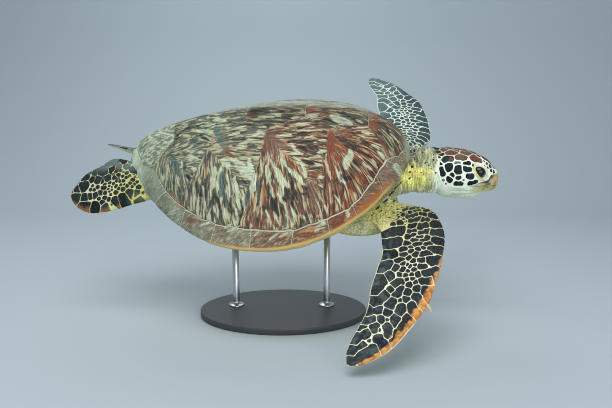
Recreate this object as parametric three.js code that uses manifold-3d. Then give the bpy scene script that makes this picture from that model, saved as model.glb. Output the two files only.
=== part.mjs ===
// Green sea turtle (Chelonia mydas), life-size display model on a plain stand.
// Millimetres, +Z up, head towards +X, dorsal side banked towards -Y.
import * as THREE from 'three';
import { mergeVertices } from 'three/addons/utils/BufferGeometryUtils.js';
import Module from 'manifold-3d';

const wasm = await Module();
wasm.setup();
const { Manifold, Mesh: MMesh } = wasm;

// ---------------------------------------------------------------- sizes
const L = 900;                       // straight carapace length
const GAP = 0.35;                    // clearance between neighbouring pieces
const POSE = { bank: 28.41, yaw: -3.35, pitch: 3.98, x: -118.5, z: 454.5 };
const DOME = { a: 0.9235, b: 0.8123, half: 350.4, a2: 0.5053, b2: 0.4817, high: 245.7,
  p: 1.5091, q: 0.7736, tilt: 10.5, lift: 55, dp: 0.4481, dq: -0.0778, o1: 0.0151, o2: -0.0756 };
const SHELL = { wall: 24, rimThick: 9, lipIn: 30, lipOut: 66 };
const BELLY = { depth: 104, side: 0.905, front: 0.93, rear: -0.93, plate: 11 };
const rad = Math.PI / 180;
const clamp = (x, a, b) => Math.min(b, Math.max(a, x));
const lerp = (a, b, t) => a + (b - a) * t;
const smooth = (a, b, x) => { const t = clamp((x - a) / (b - a), 0, 1); return t * t * (3 - 2 * t); };

// smooth curve through a short table of stations
function table(xs, ys) {
  const n = xs.length, h = [], d = [], m = new Array(n).fill(0);
  for (let i = 0; i < n - 1; i++) { h.push(xs[i + 1] - xs[i]); d.push((ys[i + 1] - ys[i]) / h[i]); }
  for (let i = 1; i < n - 1; i++) if (d[i - 1] * d[i] > 0) {
    const w1 = 2 * h[i] + h[i - 1], w2 = h[i] + 2 * h[i - 1];
    m[i] = (w1 + w2) / (w1 / d[i - 1] + w2 / d[i]);
  }
  m[0] = d[0]; m[n - 1] = d[n - 2];
  return (x) => {
    x = clamp(x, xs[0], xs[n - 1]);
    let i = 0; while (i < n - 2 && x > xs[i + 1]) i++;
    const t = (x - xs[i]) / h[i], t2 = t * t, t3 = t2 * t;
    return (2 * t3 - 3 * t2 + 1) * ys[i] + (t3 - 2 * t2 + t) * h[i] * m[i] +
      (-2 * t3 + 3 * t2) * ys[i + 1] + (t3 - t2) * h[i] * m[i + 1];
  };
}

// ---------------------------------------------------------------- carapace form
function bell(s, a, b) {
  const m = a / (a + b);
  return (clamp(s, 0, 1) ** a * clamp(1 - s, 0, 1) ** b) / (m ** a * (1 - m) ** b);
}
const flare = table([-1, -0.9, -0.75, -0.55, -0.4, -0.2, 0, 0.25, 0.45, 0.6, 0.72, 0.82, 0.93, 1], [0, 1, 5, 10, 10, 3, -3, 0, 5, 9, 11, 5, 8, 0]);
function halfWidth(u) {
  const s = (u + 1) / 2;
  return DOME.half * bell(s, DOME.a, DOME.b) * (1 + DOME.o1 * u * (1 - u * u) + DOME.o2 * (1 - u * u) * (u * u - 0.3)) + flare(u);
}
const rimZ = (u) => DOME.tilt * u + DOME.lift * u * u;
function domeRise(u, v) {
  return DOME.high * bell((u + 1) / 2, DOME.a2, DOME.b2) *
    clamp(1 - Math.abs(v) ** (DOME.p + DOME.dp * u), 0, 1) ** (DOME.q + DOME.dq * u);
}

// ---------------------------------------------------------------- helpers
function solid(geo) {
  const g = geo.clone();
  g.deleteAttribute('normal'); g.deleteAttribute('uv');
  const w = mergeVertices(g, 1e-3);
  const tri = Uint32Array.from(w.index.array), p = w.attributes.position;
  const A = new THREE.Vector3(), B = new THREE.Vector3(), C = new THREE.Vector3();
  let vol = 0;
  for (let i = 0; i < tri.length; i += 3) {
    A.fromBufferAttribute(p, tri[i]); B.fromBufferAttribute(p, tri[i + 1]); C.fromBufferAttribute(p, tri[i + 2]);
    vol += A.dot(B.cross(C));
  }
  if (vol < 0) for (let i = 0; i < tri.length; i += 3) { const k = tri[i]; tri[i] = tri[i + 1]; tri[i + 1] = k; }
  return new Manifold(new MMesh({ numProp: 3, vertProperties: Float32Array.from(p.array), triVerts: tri }));
}
// unit ball with its poles on the X axis, each vertex sent through fn(u, cos, sin)
function ballMap(around, along, fn) {
  const g = new THREE.SphereGeometry(1, around, along);
  g.rotateZ(-Math.PI / 2);
  const p = g.attributes.position;
  for (let i = 0; i < p.count; i++) {
    const x = p.getX(i), y = p.getY(i), z = p.getZ(i), r = Math.hypot(y, z);
    const c = r > 1e-5 ? y / r : 0, s = r > 1e-5 ? z / r : 0;
    const q = fn(clamp(x, -1, 1), c, s, r);
    p.setXYZ(i, q[0], q[1], q[2]);
  }
  return g;
}
function boxAt(sx, sy, sz, matrix) {
  const g = new THREE.BoxGeometry(sx, sy, sz);
  g.applyMatrix4(matrix);
  return solid(g);
}
// vertical prism over a plan polygon
function prism(points, z0, z1) {
  const shape = new THREE.Shape(points.map((p) => new THREE.Vector2(p[0], p[1])));
  const g = new THREE.ExtrudeGeometry(shape, { depth: z1 - z0, bevelEnabled: false, steps: 1 });
  g.translate(0, 0, z0);
  return solid(g);
}
const mirrorY = (pts) => pts.map((p) => [p[0], -p[1]]).reverse();

// ---------------------------------------------------------------- shell solid
function shellSolid(grow) {
  const around = 36, along = 20;
  const g = ballMap(around, along, (x, c, s) => {
    const u = Math.sign(x) * (1 - (1 - Math.abs(x)) ** 0.9) ;
    const v = clamp(c, -1, 1);
    const w = halfWidth(u);
    const top = rimZ(u) + domeRise(u, v);
    if (s >= -1e-6) return [u * L / 2, v * w, top];
    const dist = Math.min((1 - Math.abs(v)) * w, (1 - Math.abs(u)) * L / 2);
    const flat = rimZ(u) - SHELL.rimThick * smooth(0, 12, dist);
    const under = lerp(flat, Math.max(top - SHELL.wall, flat), smooth(SHELL.lipIn, SHELL.lipOut, dist));
    return [u * L / 2, v * w, Math.min(under, top)];
  });
  if (grow) {
    const m = mergeVertices((() => { const q = g.clone(); q.deleteAttribute('normal'); q.deleteAttribute('uv'); return q; })(), 1e-3);
    m.computeVertexNormals();
    const p = m.attributes.position, n = m.attributes.normal;
    for (let i = 0; i < p.count; i++) {
      p.setXYZ(i, p.getX(i) + n.getX(i) * grow, p.getY(i) + n.getY(i) * grow, p.getZ(i) + n.getZ(i) * grow);
    }
    return solid(m);
  }
  return solid(g);
}

// seams in plan (right-hand side has negative y; sizes are distances from the midline)
const SEAM = {
  front: 432, cross: [320, 134, -43, -268], rear: -412,
  nearHalf: [42, 40, 33, 54], lateral: [[206, 78], [31, 76], [-150, 104]],
  vertFront: [[373, 103], [416, 59], [432, 30]], vertRear: [[-339, 92], [-392, 46]],
};
const marginIn = table([-0.78, -0.64, -0.475, -0.26, -0.025, 0.235, 0.445, 0.605, 0.755, 0.84],
  [0.58, 0.80, 0.87, 0.90, 0.915, 0.937, 0.935, 0.94, 0.85, 0.69]);

function vertebralSide() { // from the front midline back along one side, y > 0
  const s = SEAM, pts = [[s.front, 0]];
  for (const q of [...s.vertFront].reverse()) pts.push(q);
  pts.push([s.cross[0], s.nearHalf[0]]);
  for (let i = 0; i < 3; i++) {
    pts.push(s.lateral[i]);
    pts.push([s.cross[i + 1], s.nearHalf[i + 1]]);
  }
  for (const q of s.vertRear) pts.push(q);
  pts.push([s.rear, 0]);
  return pts;
}
function marginSide() { // inner edge of the marginals, from front to rear, y > 0
  const pts = [SEAM.vertFront[0]];
  for (let i = 0; i <= 22; i++) {
    const u = lerp(0.80, -0.735, i / 22);
    pts.push([u * L / 2, marginIn(u) * halfWidth(u)]);
  }
  pts.push(SEAM.vertRear[0]);
  return pts;
}
// pull a closed polygon inwards by d
function inset(pts, d) {
  const n = pts.length, out = [];
  let area = 0;
  for (let i = 0; i < n; i++) { const a = pts[i], b = pts[(i + 1) % n]; area += a[0] * b[1] - b[0] * a[1]; }
  const s = Math.sign(area);
  for (let i = 0; i < n; i++) {
    const a = pts[(i + n - 1) % n], b = pts[i], c = pts[(i + 1) % n];
    const e1 = [b[0] - a[0], b[1] - a[1]], e2 = [c[0] - b[0], c[1] - b[1]];
    const l1 = Math.hypot(...e1), l2 = Math.hypot(...e2);
    const n1 = [-e1[1] / l1 * s, e1[0] / l1 * s], n2 = [-e2[1] / l2 * s, e2[0] / l2 * s];
    let nx = n1[0] + n2[0], ny = n1[1] + n2[1];
    const k = d / Math.max(0.35, (1 + n1[0] * n2[0] + n1[1] * n2[1]));
    out.push([b[0] + nx * k, b[1] + ny * k]);
  }
  return out;
}

const shell = shellSolid(0);
const shellRoom = shellSolid(GAP * 1.5);
const vs = vertebralSide();
const ms = marginSide();
const vertPoly = [...vs, ...vs.slice(1, -1).reverse().map((p) => [p[0], -p[1]])];
// nuchal plate rides with the vertebral row
const NUCHAL = 52;
const costalPoly = [...ms, ...vs.slice(4, vs.length - 2).reverse().filter((p, i) => i > 0)];
const Z0 = -60, Z1 = 330;
const vertPrism = prism(inset(vertPoly, GAP / 2), Z0, Z1);
const costalL = prism(inset(costalPoly, GAP / 2), Z0, Z1);
const costalR = prism(mirrorY(inset(costalPoly, GAP / 2)), Z0, Z1);
const ringInner = [...ms, ...vs.slice(vs.length - 2)];
const ringHole = [...vs.slice(0, 4), ...ms.slice(1), ...vs.slice(vs.length - 2)];
function marginHalf(sign) {
  const outer = [[620, 0], [620, 520], [-620, 520], [-620, 0]];
  const hole = ringHole.map((p) => [p[0], p[1]]);
  const poly = [...outer, ...hole.slice().reverse()];
  const p = inset(poly, GAP / 2);
  return prism(sign > 0 ? p : mirrorY(p), Z0, Z1);
}
const nuchalBox = prism([[SEAM.front - 2, -NUCHAL * 0.62], [600, -NUCHAL * 1.15], [600, NUCHAL * 1.15], [SEAM.front - 2, NUCHAL * 0.62]], Z0, Z1);
const nuchalRoom = prism([[SEAM.front - 4, -NUCHAL * 0.62 - GAP], [600, -NUCHAL * 1.15 - GAP], [600, NUCHAL * 1.15 + GAP], [SEAM.front - 4, NUCHAL * 0.62 + GAP]], Z0, Z1);
let marginL = shell.intersect(marginHalf(1)).subtract(nuchalRoom);
let marginR = shell.intersect(marginHalf(-1)).subtract(nuchalRoom);
let vertebrals = shell.intersect(vertPrism.add(nuchalBox));
let costalsL = shell.intersect(costalL);
let costalsR = shell.intersect(costalR);

// ---------------------------------------------------------------- trunk and plastron
const bellyHalf = (u) => halfWidth(u) * BELLY.side * lerp(1, 1.04, smooth(0.45, 0.8, u));
function bellyZ(u) {
  return rimZ(u) - BELLY.depth * Math.max(0, 1 - Math.abs(u / 0.985) ** 3.2) ** 0.62;
}
function trunkSolid(grow) {
  const g = ballMap(20, 14, (x, c, s) => {
    const u = x > 0 ? x * BELLY.front : -x * BELLY.rear;
    const w = bellyHalf(u) + grow;
    const side = Math.sign(c) * Math.abs(c) ** 0.72, deep = Math.sign(s) * Math.abs(s) ** 0.85;
    const up = domeRise(u, side * w / Math.max(1, halfWidth(u))) - SHELL.wall * 0.55;
    const mid = rimZ(u) - 2;
    const z = s >= 0 ? mid + Math.max(up, 0) * Math.min(1, s * 2.6) : lerp(mid, bellyZ(u) - grow, Math.abs(deep));
    return [u * L / 2 + Math.sign(x) * grow * Math.abs(x) ** 6, side * w, z];
  });
  return solid(g);
}
const trunkRaw = trunkSolid(0);
const PLAS = { front: 318, rear: -330, lobeF: 150, lobeR: 118, waist: [150, -170] };
// one side of the plastron with its bridge, y > 0, front to rear
const plasSide = [];
for (let i = 0; i <= 8; i++) { const t = i / 8; plasSide.push([PLAS.front - (PLAS.front - PLAS.waist[0] - 20) * t, PLAS.lobeF * Math.sin(Math.PI / 2 * Math.min(1, t * 1.15)) ** 0.75]); }
plasSide.push([PLAS.waist[0], 210], [PLAS.waist[0] - 10, 420], [PLAS.waist[1] + 10, 420], [PLAS.waist[1], 200]);
for (let i = 0; i <= 7; i++) { const t = i / 7; plasSide.push([PLAS.waist[1] - 22 - (PLAS.waist[1] - 22 - PLAS.rear) * t, PLAS.lobeR * Math.cos(Math.PI / 2 * t) ** 0.7]); }
const plasPoly = [...plasSide, ...plasSide.slice(1, -1).reverse().map((p) => [p[0], -p[1]])];
const plasPrism = prism(plasPoly, -400, 20);
const plasRoom = prism(inset(plasPoly, -GAP), -401, 20.4);
// breast muscle at the root of each front limb
function breast(sign, grow) {
  const g = new THREE.SphereGeometry(1, 12, 8);
  g.scale(118 + grow, 66 + grow, 54 + grow);
  g.translate(292, sign * 158, -44);
  return solid(g);
}
let plastron = trunkSolid(2.5).intersect(plasPrism).subtract(trunkSolid(-BELLY.plate)).subtract(shellRoom);


// ---------------------------------------------------------------- pose
const pose = new THREE.Matrix4()
  .multiply(new THREE.Matrix4().makeTranslation(POSE.x, 0, POSE.z))
  .multiply(new THREE.Matrix4().makeRotationX(POSE.bank * rad))
  .multiply(new THREE.Matrix4().makeRotationZ(POSE.yaw * rad))
  .multiply(new THREE.Matrix4().makeRotationY(-POSE.pitch * rad));
const posed = (m) => m.transform(Array.from(pose.elements));
const inPose = (x, y, z) => new THREE.Vector3(x, y, z).applyMatrix4(pose);

// ---------------------------------------------------------------- limbs
// A limb is a blade between a leading and a trailing edge, drawn in a plane
// with its own length direction T, edge direction C and face normal N.
function limbFrame(origin, T, C) {
  const t = new THREE.Vector3(...T).normalize();
  const n = new THREE.Vector3().crossVectors(new THREE.Vector3(...C), t).normalize();
  const c = new THREE.Vector3().crossVectors(t, n).normalize();
  if (n.z < 0) n.negate();
  return { o: new THREE.Vector3(...origin), t, c, n };
}
function edge(list, k) { return table(list.map((q) => q[0]), list.map((q) => q[k])); }
function limbSolid(frame, spec, around, along, grow = 0) {
  const lx = edge(spec.lead, 1), ly = edge(spec.lead, 2), tx = edge(spec.trail, 1), ty = edge(spec.trail, 2);
  const th = table(spec.thick.map((q) => q[0]), spec.thick.map((q) => q[1]));
  const droop = table(spec.droop.map((q) => q[0]), spec.droop.map((q) => q[1]));
  return ballMap(around, along, (x, c, s, r) => {
    const t = Math.acos(x) / Math.PI;
    const w = 0.5 + 0.5 * c;
    const e = Math.min(1, Math.sqrt(Math.max(0, 1 - Math.max(0, (t - 0.955) / 0.045) ** 2)), Math.sqrt(t / 0.02));
    const f = lerp(0.5, w, e);
    const A = lerp(tx(t), lx(t), f), B = lerp(ty(t), ly(t), f);
    const h = 0.5 * th(t) * s * Math.abs(s) ** -0.1 * (spec.rear + (1 - spec.rear) * w ** 0.8) * e;
    const q = new THREE.Vector3().copy(frame.o).addScaledVector(frame.t, A).addScaledVector(frame.c, B)
      .addScaledVector(frame.n, (Number.isFinite(h) ? h : 0) + droop(t));
    return [q.x, q.y, q.z];
  });
}
// lead and trail: [t, out from the shoulder, forward]
const FRONT = {
  lead: [[0, -90, 20], [0.12, -48, 34], [0.25, -10, 125], [0.38, 62, 151], [0.52, 145, 137], [0.65, 225, 112],
    [0.75, 284, 88], [0.85, 350, 34], [0.93, 415, -30], [1, 462, -124]],
  trail: [[0, -50, -80], [0.12, 5, -62], [0.25, 62, -35], [0.38, 112, -31], [0.52, 180, -49], [0.65, 240, -68],
    [0.75, 292, -77], [0.85, 340, -99], [0.93, 384, -124], [1, 432, -142]],
  thick: [[0, 64], [0.12, 86], [0.25, 63], [0.38, 46], [0.52, 37], [0.65, 30], [0.75, 25], [0.85, 19], [0.93, 14], [1, 8]],
  droop: [[0, -36], [0.12, -16], [0.25, 2], [0.38, -6], [0.5, 0], [0.75, -2], [1, -10]], rear: 0.3,
};
const HIND = {
  lead: [[0, -50, -5], [0.2, 15, 28], [0.4, 92, 48], [0.6, 165, 70], [0.75, 220, 76], [0.88, 270, 58], [1, 306, 18]],
  trail: [[0, -40, -55], [0.2, 40, -75], [0.4, 110, -98], [0.6, 170, -110], [0.75, 215, -84], [0.88, 258, -60], [1, 294, -12]],
  thick: [[0, 66], [0.2, 56], [0.4, 38], [0.6, 27], [0.75, 20], [0.88, 14], [1, 8]],
  droop: [[0, 0], [0.5, 0], [1, 0]], rear: 0.45,
};
const SHOULDER = { x: 380, y: 200, z: -10 };
const STROKE = { right: 17, left: -5, leftForward: 12 };
const cR = Math.cos(STROKE.right * rad), sR = Math.sin(STROKE.right * rad);
const cL = Math.cos(STROKE.left * rad), sL = Math.sin(STROKE.left * rad);
const fL = Math.cos(STROKE.leftForward * rad), gL = Math.sin(STROKE.leftForward * rad);
const frameFR = limbFrame([SHOULDER.x, -SHOULDER.y, SHOULDER.z], [0, -cR, -sR], [1, 0, 0]);
const frameFL = limbFrame([SHOULDER.x, SHOULDER.y, SHOULDER.z], [gL, fL * cL, -fL * sL], [fL, -gL * cL, gL * sL]);
const HIP = { x: -330, y: 98, z: 12 };
const HINDPOSE = { right: 33, left: 22, leftOut: 26, leftRise: -1 };
const cH = Math.cos(HINDPOSE.right * rad), sH = Math.sin(HINDPOSE.right * rad);
const frameHR = limbFrame([HIP.x, -HIP.y + 18, HIP.z + 8], [-1, 0, 0], [0, -cH, -sH]);
const oL = HINDPOSE.leftOut * rad, rL = HINDPOSE.leftRise * rad;
const frameHL = limbFrame([HIP.x, HIP.y - 14, HIP.z + 3], [-Math.cos(oL) * Math.cos(rL), Math.sin(oL) * Math.cos(rL), Math.sin(rL)], [-0.37, 0.8, -0.478]);

const limbFR = posed(solid(limbSolid(frameFR, FRONT, 10, 19)));
const limbFL = posed(solid(limbSolid(frameFL, FRONT, 10, 19)));
const limbHR = posed(solid(limbSolid(frameHR, HIND, 10, 12)));
const limbHL = posed(solid(limbSolid(frameHL, HIND, 10, 12)));

// ---------------------------------------------------------------- tail
const TAIL = { len: 150, root: 34, tip: 5, x: -350, z: 8 };
const tailGeo = ballMap(12, 10, (x, c, s, r) => {
  const t = Math.acos(x) / Math.PI;
  const k = lerp(TAIL.root, TAIL.tip, t ** 0.8) * Math.min(1, r * 2.5);
  return [TAIL.x - TAIL.len * (t - 0.15), c * k, TAIL.z + 16 * t + s * k * 0.85];
});
const tailRaw = posed(solid(tailGeo));

// ---------------------------------------------------------------- head and neck
const HEAD = { tipX: 606, y: -50, z: 97.4 + POSE.z - 87.5, bank: 6, len: 214 };
const headTop = table([0, 8, 20, 40, 60, 85, 110, 140, 170, 236], [12, 21, 33, 55, 66, 77, 84, 88, 90, 88]);
const headBot = table([0, 8, 20, 41, 63, 85, 114, 150, 180, 236], [-30, -40, -47, -49, -57, -67, -70, -67, -62, -48]);
const headHalf = table([0, 8, 20, 40, 60, 85, 110, 140, 170, 236], [17, 25, 34, 44, 51, 58, 62, 64.5, 63, 52]);
const hb = HEAD.bank * rad;
function headAt(d, y, z) { // head coordinates to the display frame
  return [HEAD.tipX - d, HEAD.y + y * Math.cos(hb) - z * Math.sin(hb), HEAD.z + y * Math.sin(hb) + z * Math.cos(hb)];
}
const headGeo = ballMap(20, 15, (x, c, s, r) => {
  const t = Math.acos(x) / Math.PI;
  const d = HEAD.len * t ** 1.25;
  const front = Math.sqrt(1 - (1 - Math.min(1, d / 9)) ** 2), back = Math.sqrt(1 - (1 - Math.min(1, (HEAD.len - d) / 34)) ** 2);
  const k = front * back;
  const zt = headTop(d), zb = headBot(d), zc = (zt + zb) / 2, hh = (zt - zb) / 2 * k, hw = headHalf(d) * k;
  const cc = Math.sign(c) * Math.abs(c) ** 0.86, sn = Math.sign(s) * Math.abs(s) ** 0.92;
  return headAt(d, hw * cc * (1 - 0.1 * Math.max(0, s) * smooth(120, 30, d)), zc + hh * sn);
});
const headRaw = solid(headGeo);
const ZF = POSE.z - 87.5;
const neckLine = new THREE.CatmullRomCurve3([inPose(310, 0, -28), inPose(390, 0, -4), inPose(450, 0, 2), inPose(492, 0, 15),
  new THREE.Vector3(436, -50, 113 + ZF), new THREE.Vector3(505, -50, 102 + ZF)]);
const neckHigh = table([0, 0.2, 0.4, 0.6, 0.8, 1], [60, 49, 52, 74, 67, 48]);
const neckWide = table([0, 0.2, 0.4, 0.6, 0.8, 1], [104, 92, 76, 69, 58, 38]);
const neckBank = table([0, 0.3, 0.6, 0.8, 1], [POSE.bank, POSE.bank, 18, 8, 6]);
const neckGeo = ballMap(16, 9, (x, c, s, r) => {
  const t = Math.acos(x) / Math.PI;
  const q = neckLine.getPoint(t), k = Math.min(1, Math.sqrt(Math.max(0, 1 - (Math.max(0, t - 0.8) / 0.2) ** 2)), Math.sqrt(t / 0.06));
  const a = neckBank(t) * rad, y = c * neckWide(t) * k, z = s * neckHigh(t) * k;
  return [q.x, q.y + y * Math.cos(a) - z * Math.sin(a), q.z + y * Math.sin(a) + z * Math.cos(a)];
});
const neckRaw = solid(neckGeo);

// ---------------------------------------------------------------- eyes and claws
const EYE = { r: 19, d: 72, z: 22, y: 40 };
function eyeBall(sign, grow) {
  const g = new THREE.SphereGeometry(EYE.r + grow, 12, 8);
  const q = headAt(EYE.d, sign * EYE.y, EYE.z);
  g.translate(q[0], q[1], q[2]);
  return solid(g);
}
const CLAW = { len: 24, r: 5.5 };
function claw(frame, A, B, dir, grow) {
  const g = new THREE.ConeGeometry(CLAW.r + grow, CLAW.len + 2 * grow, 10, 1);
  const T = new THREE.Vector3().addScaledVector(frame.t, dir[0]).addScaledVector(frame.c, dir[1]).normalize();
  g.applyQuaternion(new THREE.Quaternion().setFromUnitVectors(new THREE.Vector3(0, 1, 0), T));
  const q = new THREE.Vector3().copy(frame.o).addScaledVector(frame.t, A).addScaledVector(frame.c, B);
  g.translate(q.x, q.y, q.z);
  return posed(solid(g));
}
const CLAWS = [
  ['claw_front_right', frameFR, 294, 86, [0.9, 0.55]],
  ['claw_front_left', frameFL, 294, 86, [0.9, 0.55]],
  ['claw_hind_right', frameHR, 196, 76, [0.75, 0.7]],
  ['claw_hind_left', frameHL, 196, 76, [0.75, 0.7]],
];

// ---------------------------------------------------------------- flesh in one piece, then parted
const shellRoomP = posed(shellRoom), plasRoomP = posed(plasRoom.subtract(trunkSolid(-BELLY.plate - GAP)));
let flesh = posed(trunkRaw.add(breast(1, 0)).add(breast(-1, 0))).add(neckRaw).add(headRaw).add(limbFR).add(limbFL).add(limbHR).add(limbHL).add(tailRaw);
flesh = flesh.subtract(shellRoomP).subtract(plasRoomP);
flesh = flesh.subtract(eyeBall(1, GAP)).subtract(eyeBall(-1, GAP));
const clawSolids = CLAWS.map((q) => [q[0], claw(q[1], q[2], q[3], q[4], 0)]);
for (const q of CLAWS) flesh = flesh.subtract(claw(q[1], q[2], q[3], q[4], GAP));

// a big block whose near face is the cut, square to dir and through point
function cutBlock(point, dir, size) {
  const d = dir.clone().normalize();
  const m = new THREE.Matrix4().makeRotationFromQuaternion(new THREE.Quaternion().setFromUnitVectors(new THREE.Vector3(1, 0, 0), d));
  const c = point.clone().addScaledVector(d, size[0] / 2);
  m.setPosition(c);
  const make = (g) => {
    const mm = m.clone().setPosition(c.clone().addScaledVector(d, -g));
    return boxAt(size[0], size[1] + 2 * g, size[2] + 2 * g, mm);
  };
  return { cut: make(0), room: make(GAP) };
}
const out = [];
function take(name, block, extra) {
  let piece = flesh.intersect(block.cut);
  flesh = flesh.subtract(block.room);
  out.push([name, piece]);
}
const dirL = (v) => v.clone().transformDirection(pose);
take('flipper_front_right', cutBlock(inPose(402, -SHOULDER.y - 14, -16), dirL(new THREE.Vector3(0.04, -1, -0.15)), [700, 900, 330]));
take('flipper_front_left', cutBlock(inPose(402, SHOULDER.y + 14, -12), dirL(new THREE.Vector3(0.04, 1, 0)), [700, 330, 900]));
take('head', cutBlock(new THREE.Vector3(424, HEAD.y, HEAD.z + 10), new THREE.Vector3(1, 0, -0.1), [400, 400, 400]));
let headPiece = out.pop()[1];
// lower jaw, parted along the gape
const jawM = new THREE.Matrix4().makeRotationX(hb);
const gape = headAt(0, 0, -27);
jawM.setPosition(gape[0] - 30, gape[1], gape[2] - 60);
const jawTilt = new THREE.Matrix4().makeTranslation(gape[0], gape[1], gape[2])
  .multiply(new THREE.Matrix4().makeRotationX(hb)).multiply(new THREE.Matrix4().makeRotationY(-3 * rad));
const jawCut = boxAt(112, 200, 120, jawTilt.clone().multiply(new THREE.Matrix4().makeTranslation(-36, 0, -60)));
const jawRoom = boxAt(112 + 2 * GAP, 200, 120 + GAP, jawTilt.clone().multiply(new THREE.Matrix4().makeTranslation(-36, 0, -60 + GAP / 2)));
out.push(['head', headPiece.subtract(jawRoom)]);
out.push(['lower_jaw', headPiece.intersect(jawCut)]);
take('neck', cutBlock(inPose(404, 0, 0), dirL(new THREE.Vector3(1, 0, 0)), [300, 330, 400]));
take('flipper_hind_right', cutBlock(inPose(-352, -104, 10), dirL(new THREE.Vector3(-1, -0.75, -0.1)), [500, 500, 400]));
take('flipper_hind_left', cutBlock(inPose(-352, 104, 10), dirL(new THREE.Vector3(-1, 0.75, -0.1)), [500, 500, 400]));
take('tail', cutBlock(inPose(-398, 0, 10), dirL(new THREE.Vector3(-1, 0, 0)), [300, 200, 300]));
out.push(['trunk', flesh]);
out.push(['eye_right', eyeBall(-1, 0)], ['eye_left', eyeBall(1, 0)]);
for (const q of clawSolids) out.push(q);
const plastronP = posed(plastron);
out.push(['carapace_vertebrals', posed(vertebrals)], ['carapace_costals_left', posed(costalsL)], ['carapace_costals_right', posed(costalsR)],
  ['carapace_marginals_left', posed(marginL)], ['carapace_marginals_right', posed(marginR)], ['plastron', plastronP]);

// ---------------------------------------------------------------- display stand
const STAND = { x: -75, y: -15, rx: 275, ry: 200, thick: 20, rod: 11, rods: [[70, 12], [-235, 12]], foot: 26 };
const baseShape = new THREE.Shape();
baseShape.absellipse(0, 0, STAND.rx, STAND.ry, 0, Math.PI * 2, false, 0);
const baseGeo = new THREE.ExtrudeGeometry(baseShape, { depth: STAND.thick - 6, bevelEnabled: true, bevelThickness: 3, bevelSize: 3,
  bevelOffset: -3, bevelSegments: 1, curveSegments: 14 });
baseGeo.translate(STAND.x, STAND.y, 3);
out.push(['stand_base', solid(baseGeo)]);
const skinRoom = plastronP.add(flesh);
STAND.rods.forEach(([x, y], i) => {
  const prof = [[0, 0], [STAND.foot, 0], [STAND.foot, 4], [STAND.rod, 14], [STAND.rod, 620], [0, 620]].map((p) => new THREE.Vector2(p[0], p[1]));
  const g = new THREE.LatheGeometry(prof, 14);
  g.rotateX(Math.PI / 2);
  g.translate(x, y, STAND.thick + GAP);
  let r = solid(g);
  const ceiling = posed(trunkSolid(2.5 + GAP));
  r = r.subtract(ceiling);
  const parts = r.decompose().sort((p, q) => p.boundingBox().min[2] - q.boundingBox().min[2]);
  out.push([i ? 'stand_rod_rear' : 'stand_rod_front', parts[0]]);
});

// ---------------------------------------------------------------- nodes
const FINISH = {
  head: [0x6b5b3f, 0.6], lower_jaw: [0xcfc79a, 0.6], neck: [0xd9d29c, 0.7], trunk: [0xd8cf98, 0.7], tail: [0x8d8460, 0.7],
  flipper_front_right: [0x37342c, 0.55], flipper_front_left: [0x37342c, 0.55], flipper_hind_right: [0x4a4433, 0.55], flipper_hind_left: [0x4a4433, 0.55],
  eye_right: [0x0b0d10, 0.08], eye_left: [0x0b0d10, 0.08],
  carapace_vertebrals: [0x6f4a33, 0.5], carapace_costals_left: [0x6a4630, 0.5], carapace_costals_right: [0x6a4630, 0.5],
  carapace_marginals_left: [0x7d6d58, 0.5], carapace_marginals_right: [0x7d6d58, 0.5], plastron: [0xd9cf9a, 0.5],
  stand_base: [0x2b2b2d, 0.45], stand_rod_front: [0xb9bcc0, 0.3], stand_rod_rear: [0xb9bcc0, 0.3],
};
const group = new THREE.Group();
for (const [name, man] of out) {
  const parts = man.decompose().sort((p, q) => q.volume() - p.volume());
  const m = parts[0].simplify(name === 'trunk' ? 0.3 : 0.15).getMesh();
  const g = new THREE.BufferGeometry();
  const pos = new Float32Array(m.vertProperties.length / m.numProp * 3);
  for (let i = 0, j = 0; i < m.vertProperties.length; i += m.numProp, j += 3) {
    pos[j] = m.vertProperties[i]; pos[j + 1] = m.vertProperties[i + 1]; pos[j + 2] = m.vertProperties[i + 2];
  }
  g.setAttribute('position', new THREE.BufferAttribute(pos, 3));
  g.setIndex(Array.from(m.triVerts));
  g.computeVertexNormals();
  const f = FINISH[name] ?? [0xc9b98a, 0.35];
  const mesh = new THREE.Mesh(g, new THREE.MeshStandardMaterial({ color: f[0], roughness: f[1], metalness: name.startsWith('stand_rod') ? 1 : 0 }));
  mesh.name = name;
  mesh.position.set(-STAND.x, -STAND.y, 0); // the base stands centred on the origin
  group.add(mesh);
}

export default group;
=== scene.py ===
# Green sea turtle, life-size display model: skin, shell plates, eyes, claws and stand.
import math

import bpy
import numpy as np
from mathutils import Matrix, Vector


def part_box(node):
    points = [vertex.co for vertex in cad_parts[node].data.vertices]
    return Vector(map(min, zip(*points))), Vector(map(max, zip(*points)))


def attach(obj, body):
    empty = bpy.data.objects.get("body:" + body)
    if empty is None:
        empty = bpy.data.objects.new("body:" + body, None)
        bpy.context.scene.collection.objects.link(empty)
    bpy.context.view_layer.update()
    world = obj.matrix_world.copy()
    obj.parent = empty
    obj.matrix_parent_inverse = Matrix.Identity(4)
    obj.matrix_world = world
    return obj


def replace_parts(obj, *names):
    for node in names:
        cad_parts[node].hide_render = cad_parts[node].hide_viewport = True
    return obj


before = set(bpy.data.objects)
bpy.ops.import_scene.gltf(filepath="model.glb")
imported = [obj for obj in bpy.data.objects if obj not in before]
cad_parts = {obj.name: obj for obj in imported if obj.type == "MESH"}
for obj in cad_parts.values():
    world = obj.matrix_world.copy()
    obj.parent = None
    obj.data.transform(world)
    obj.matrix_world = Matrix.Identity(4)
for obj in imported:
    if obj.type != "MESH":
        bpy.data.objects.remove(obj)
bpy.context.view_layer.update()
rng = np.random.RandomState(7)
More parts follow.
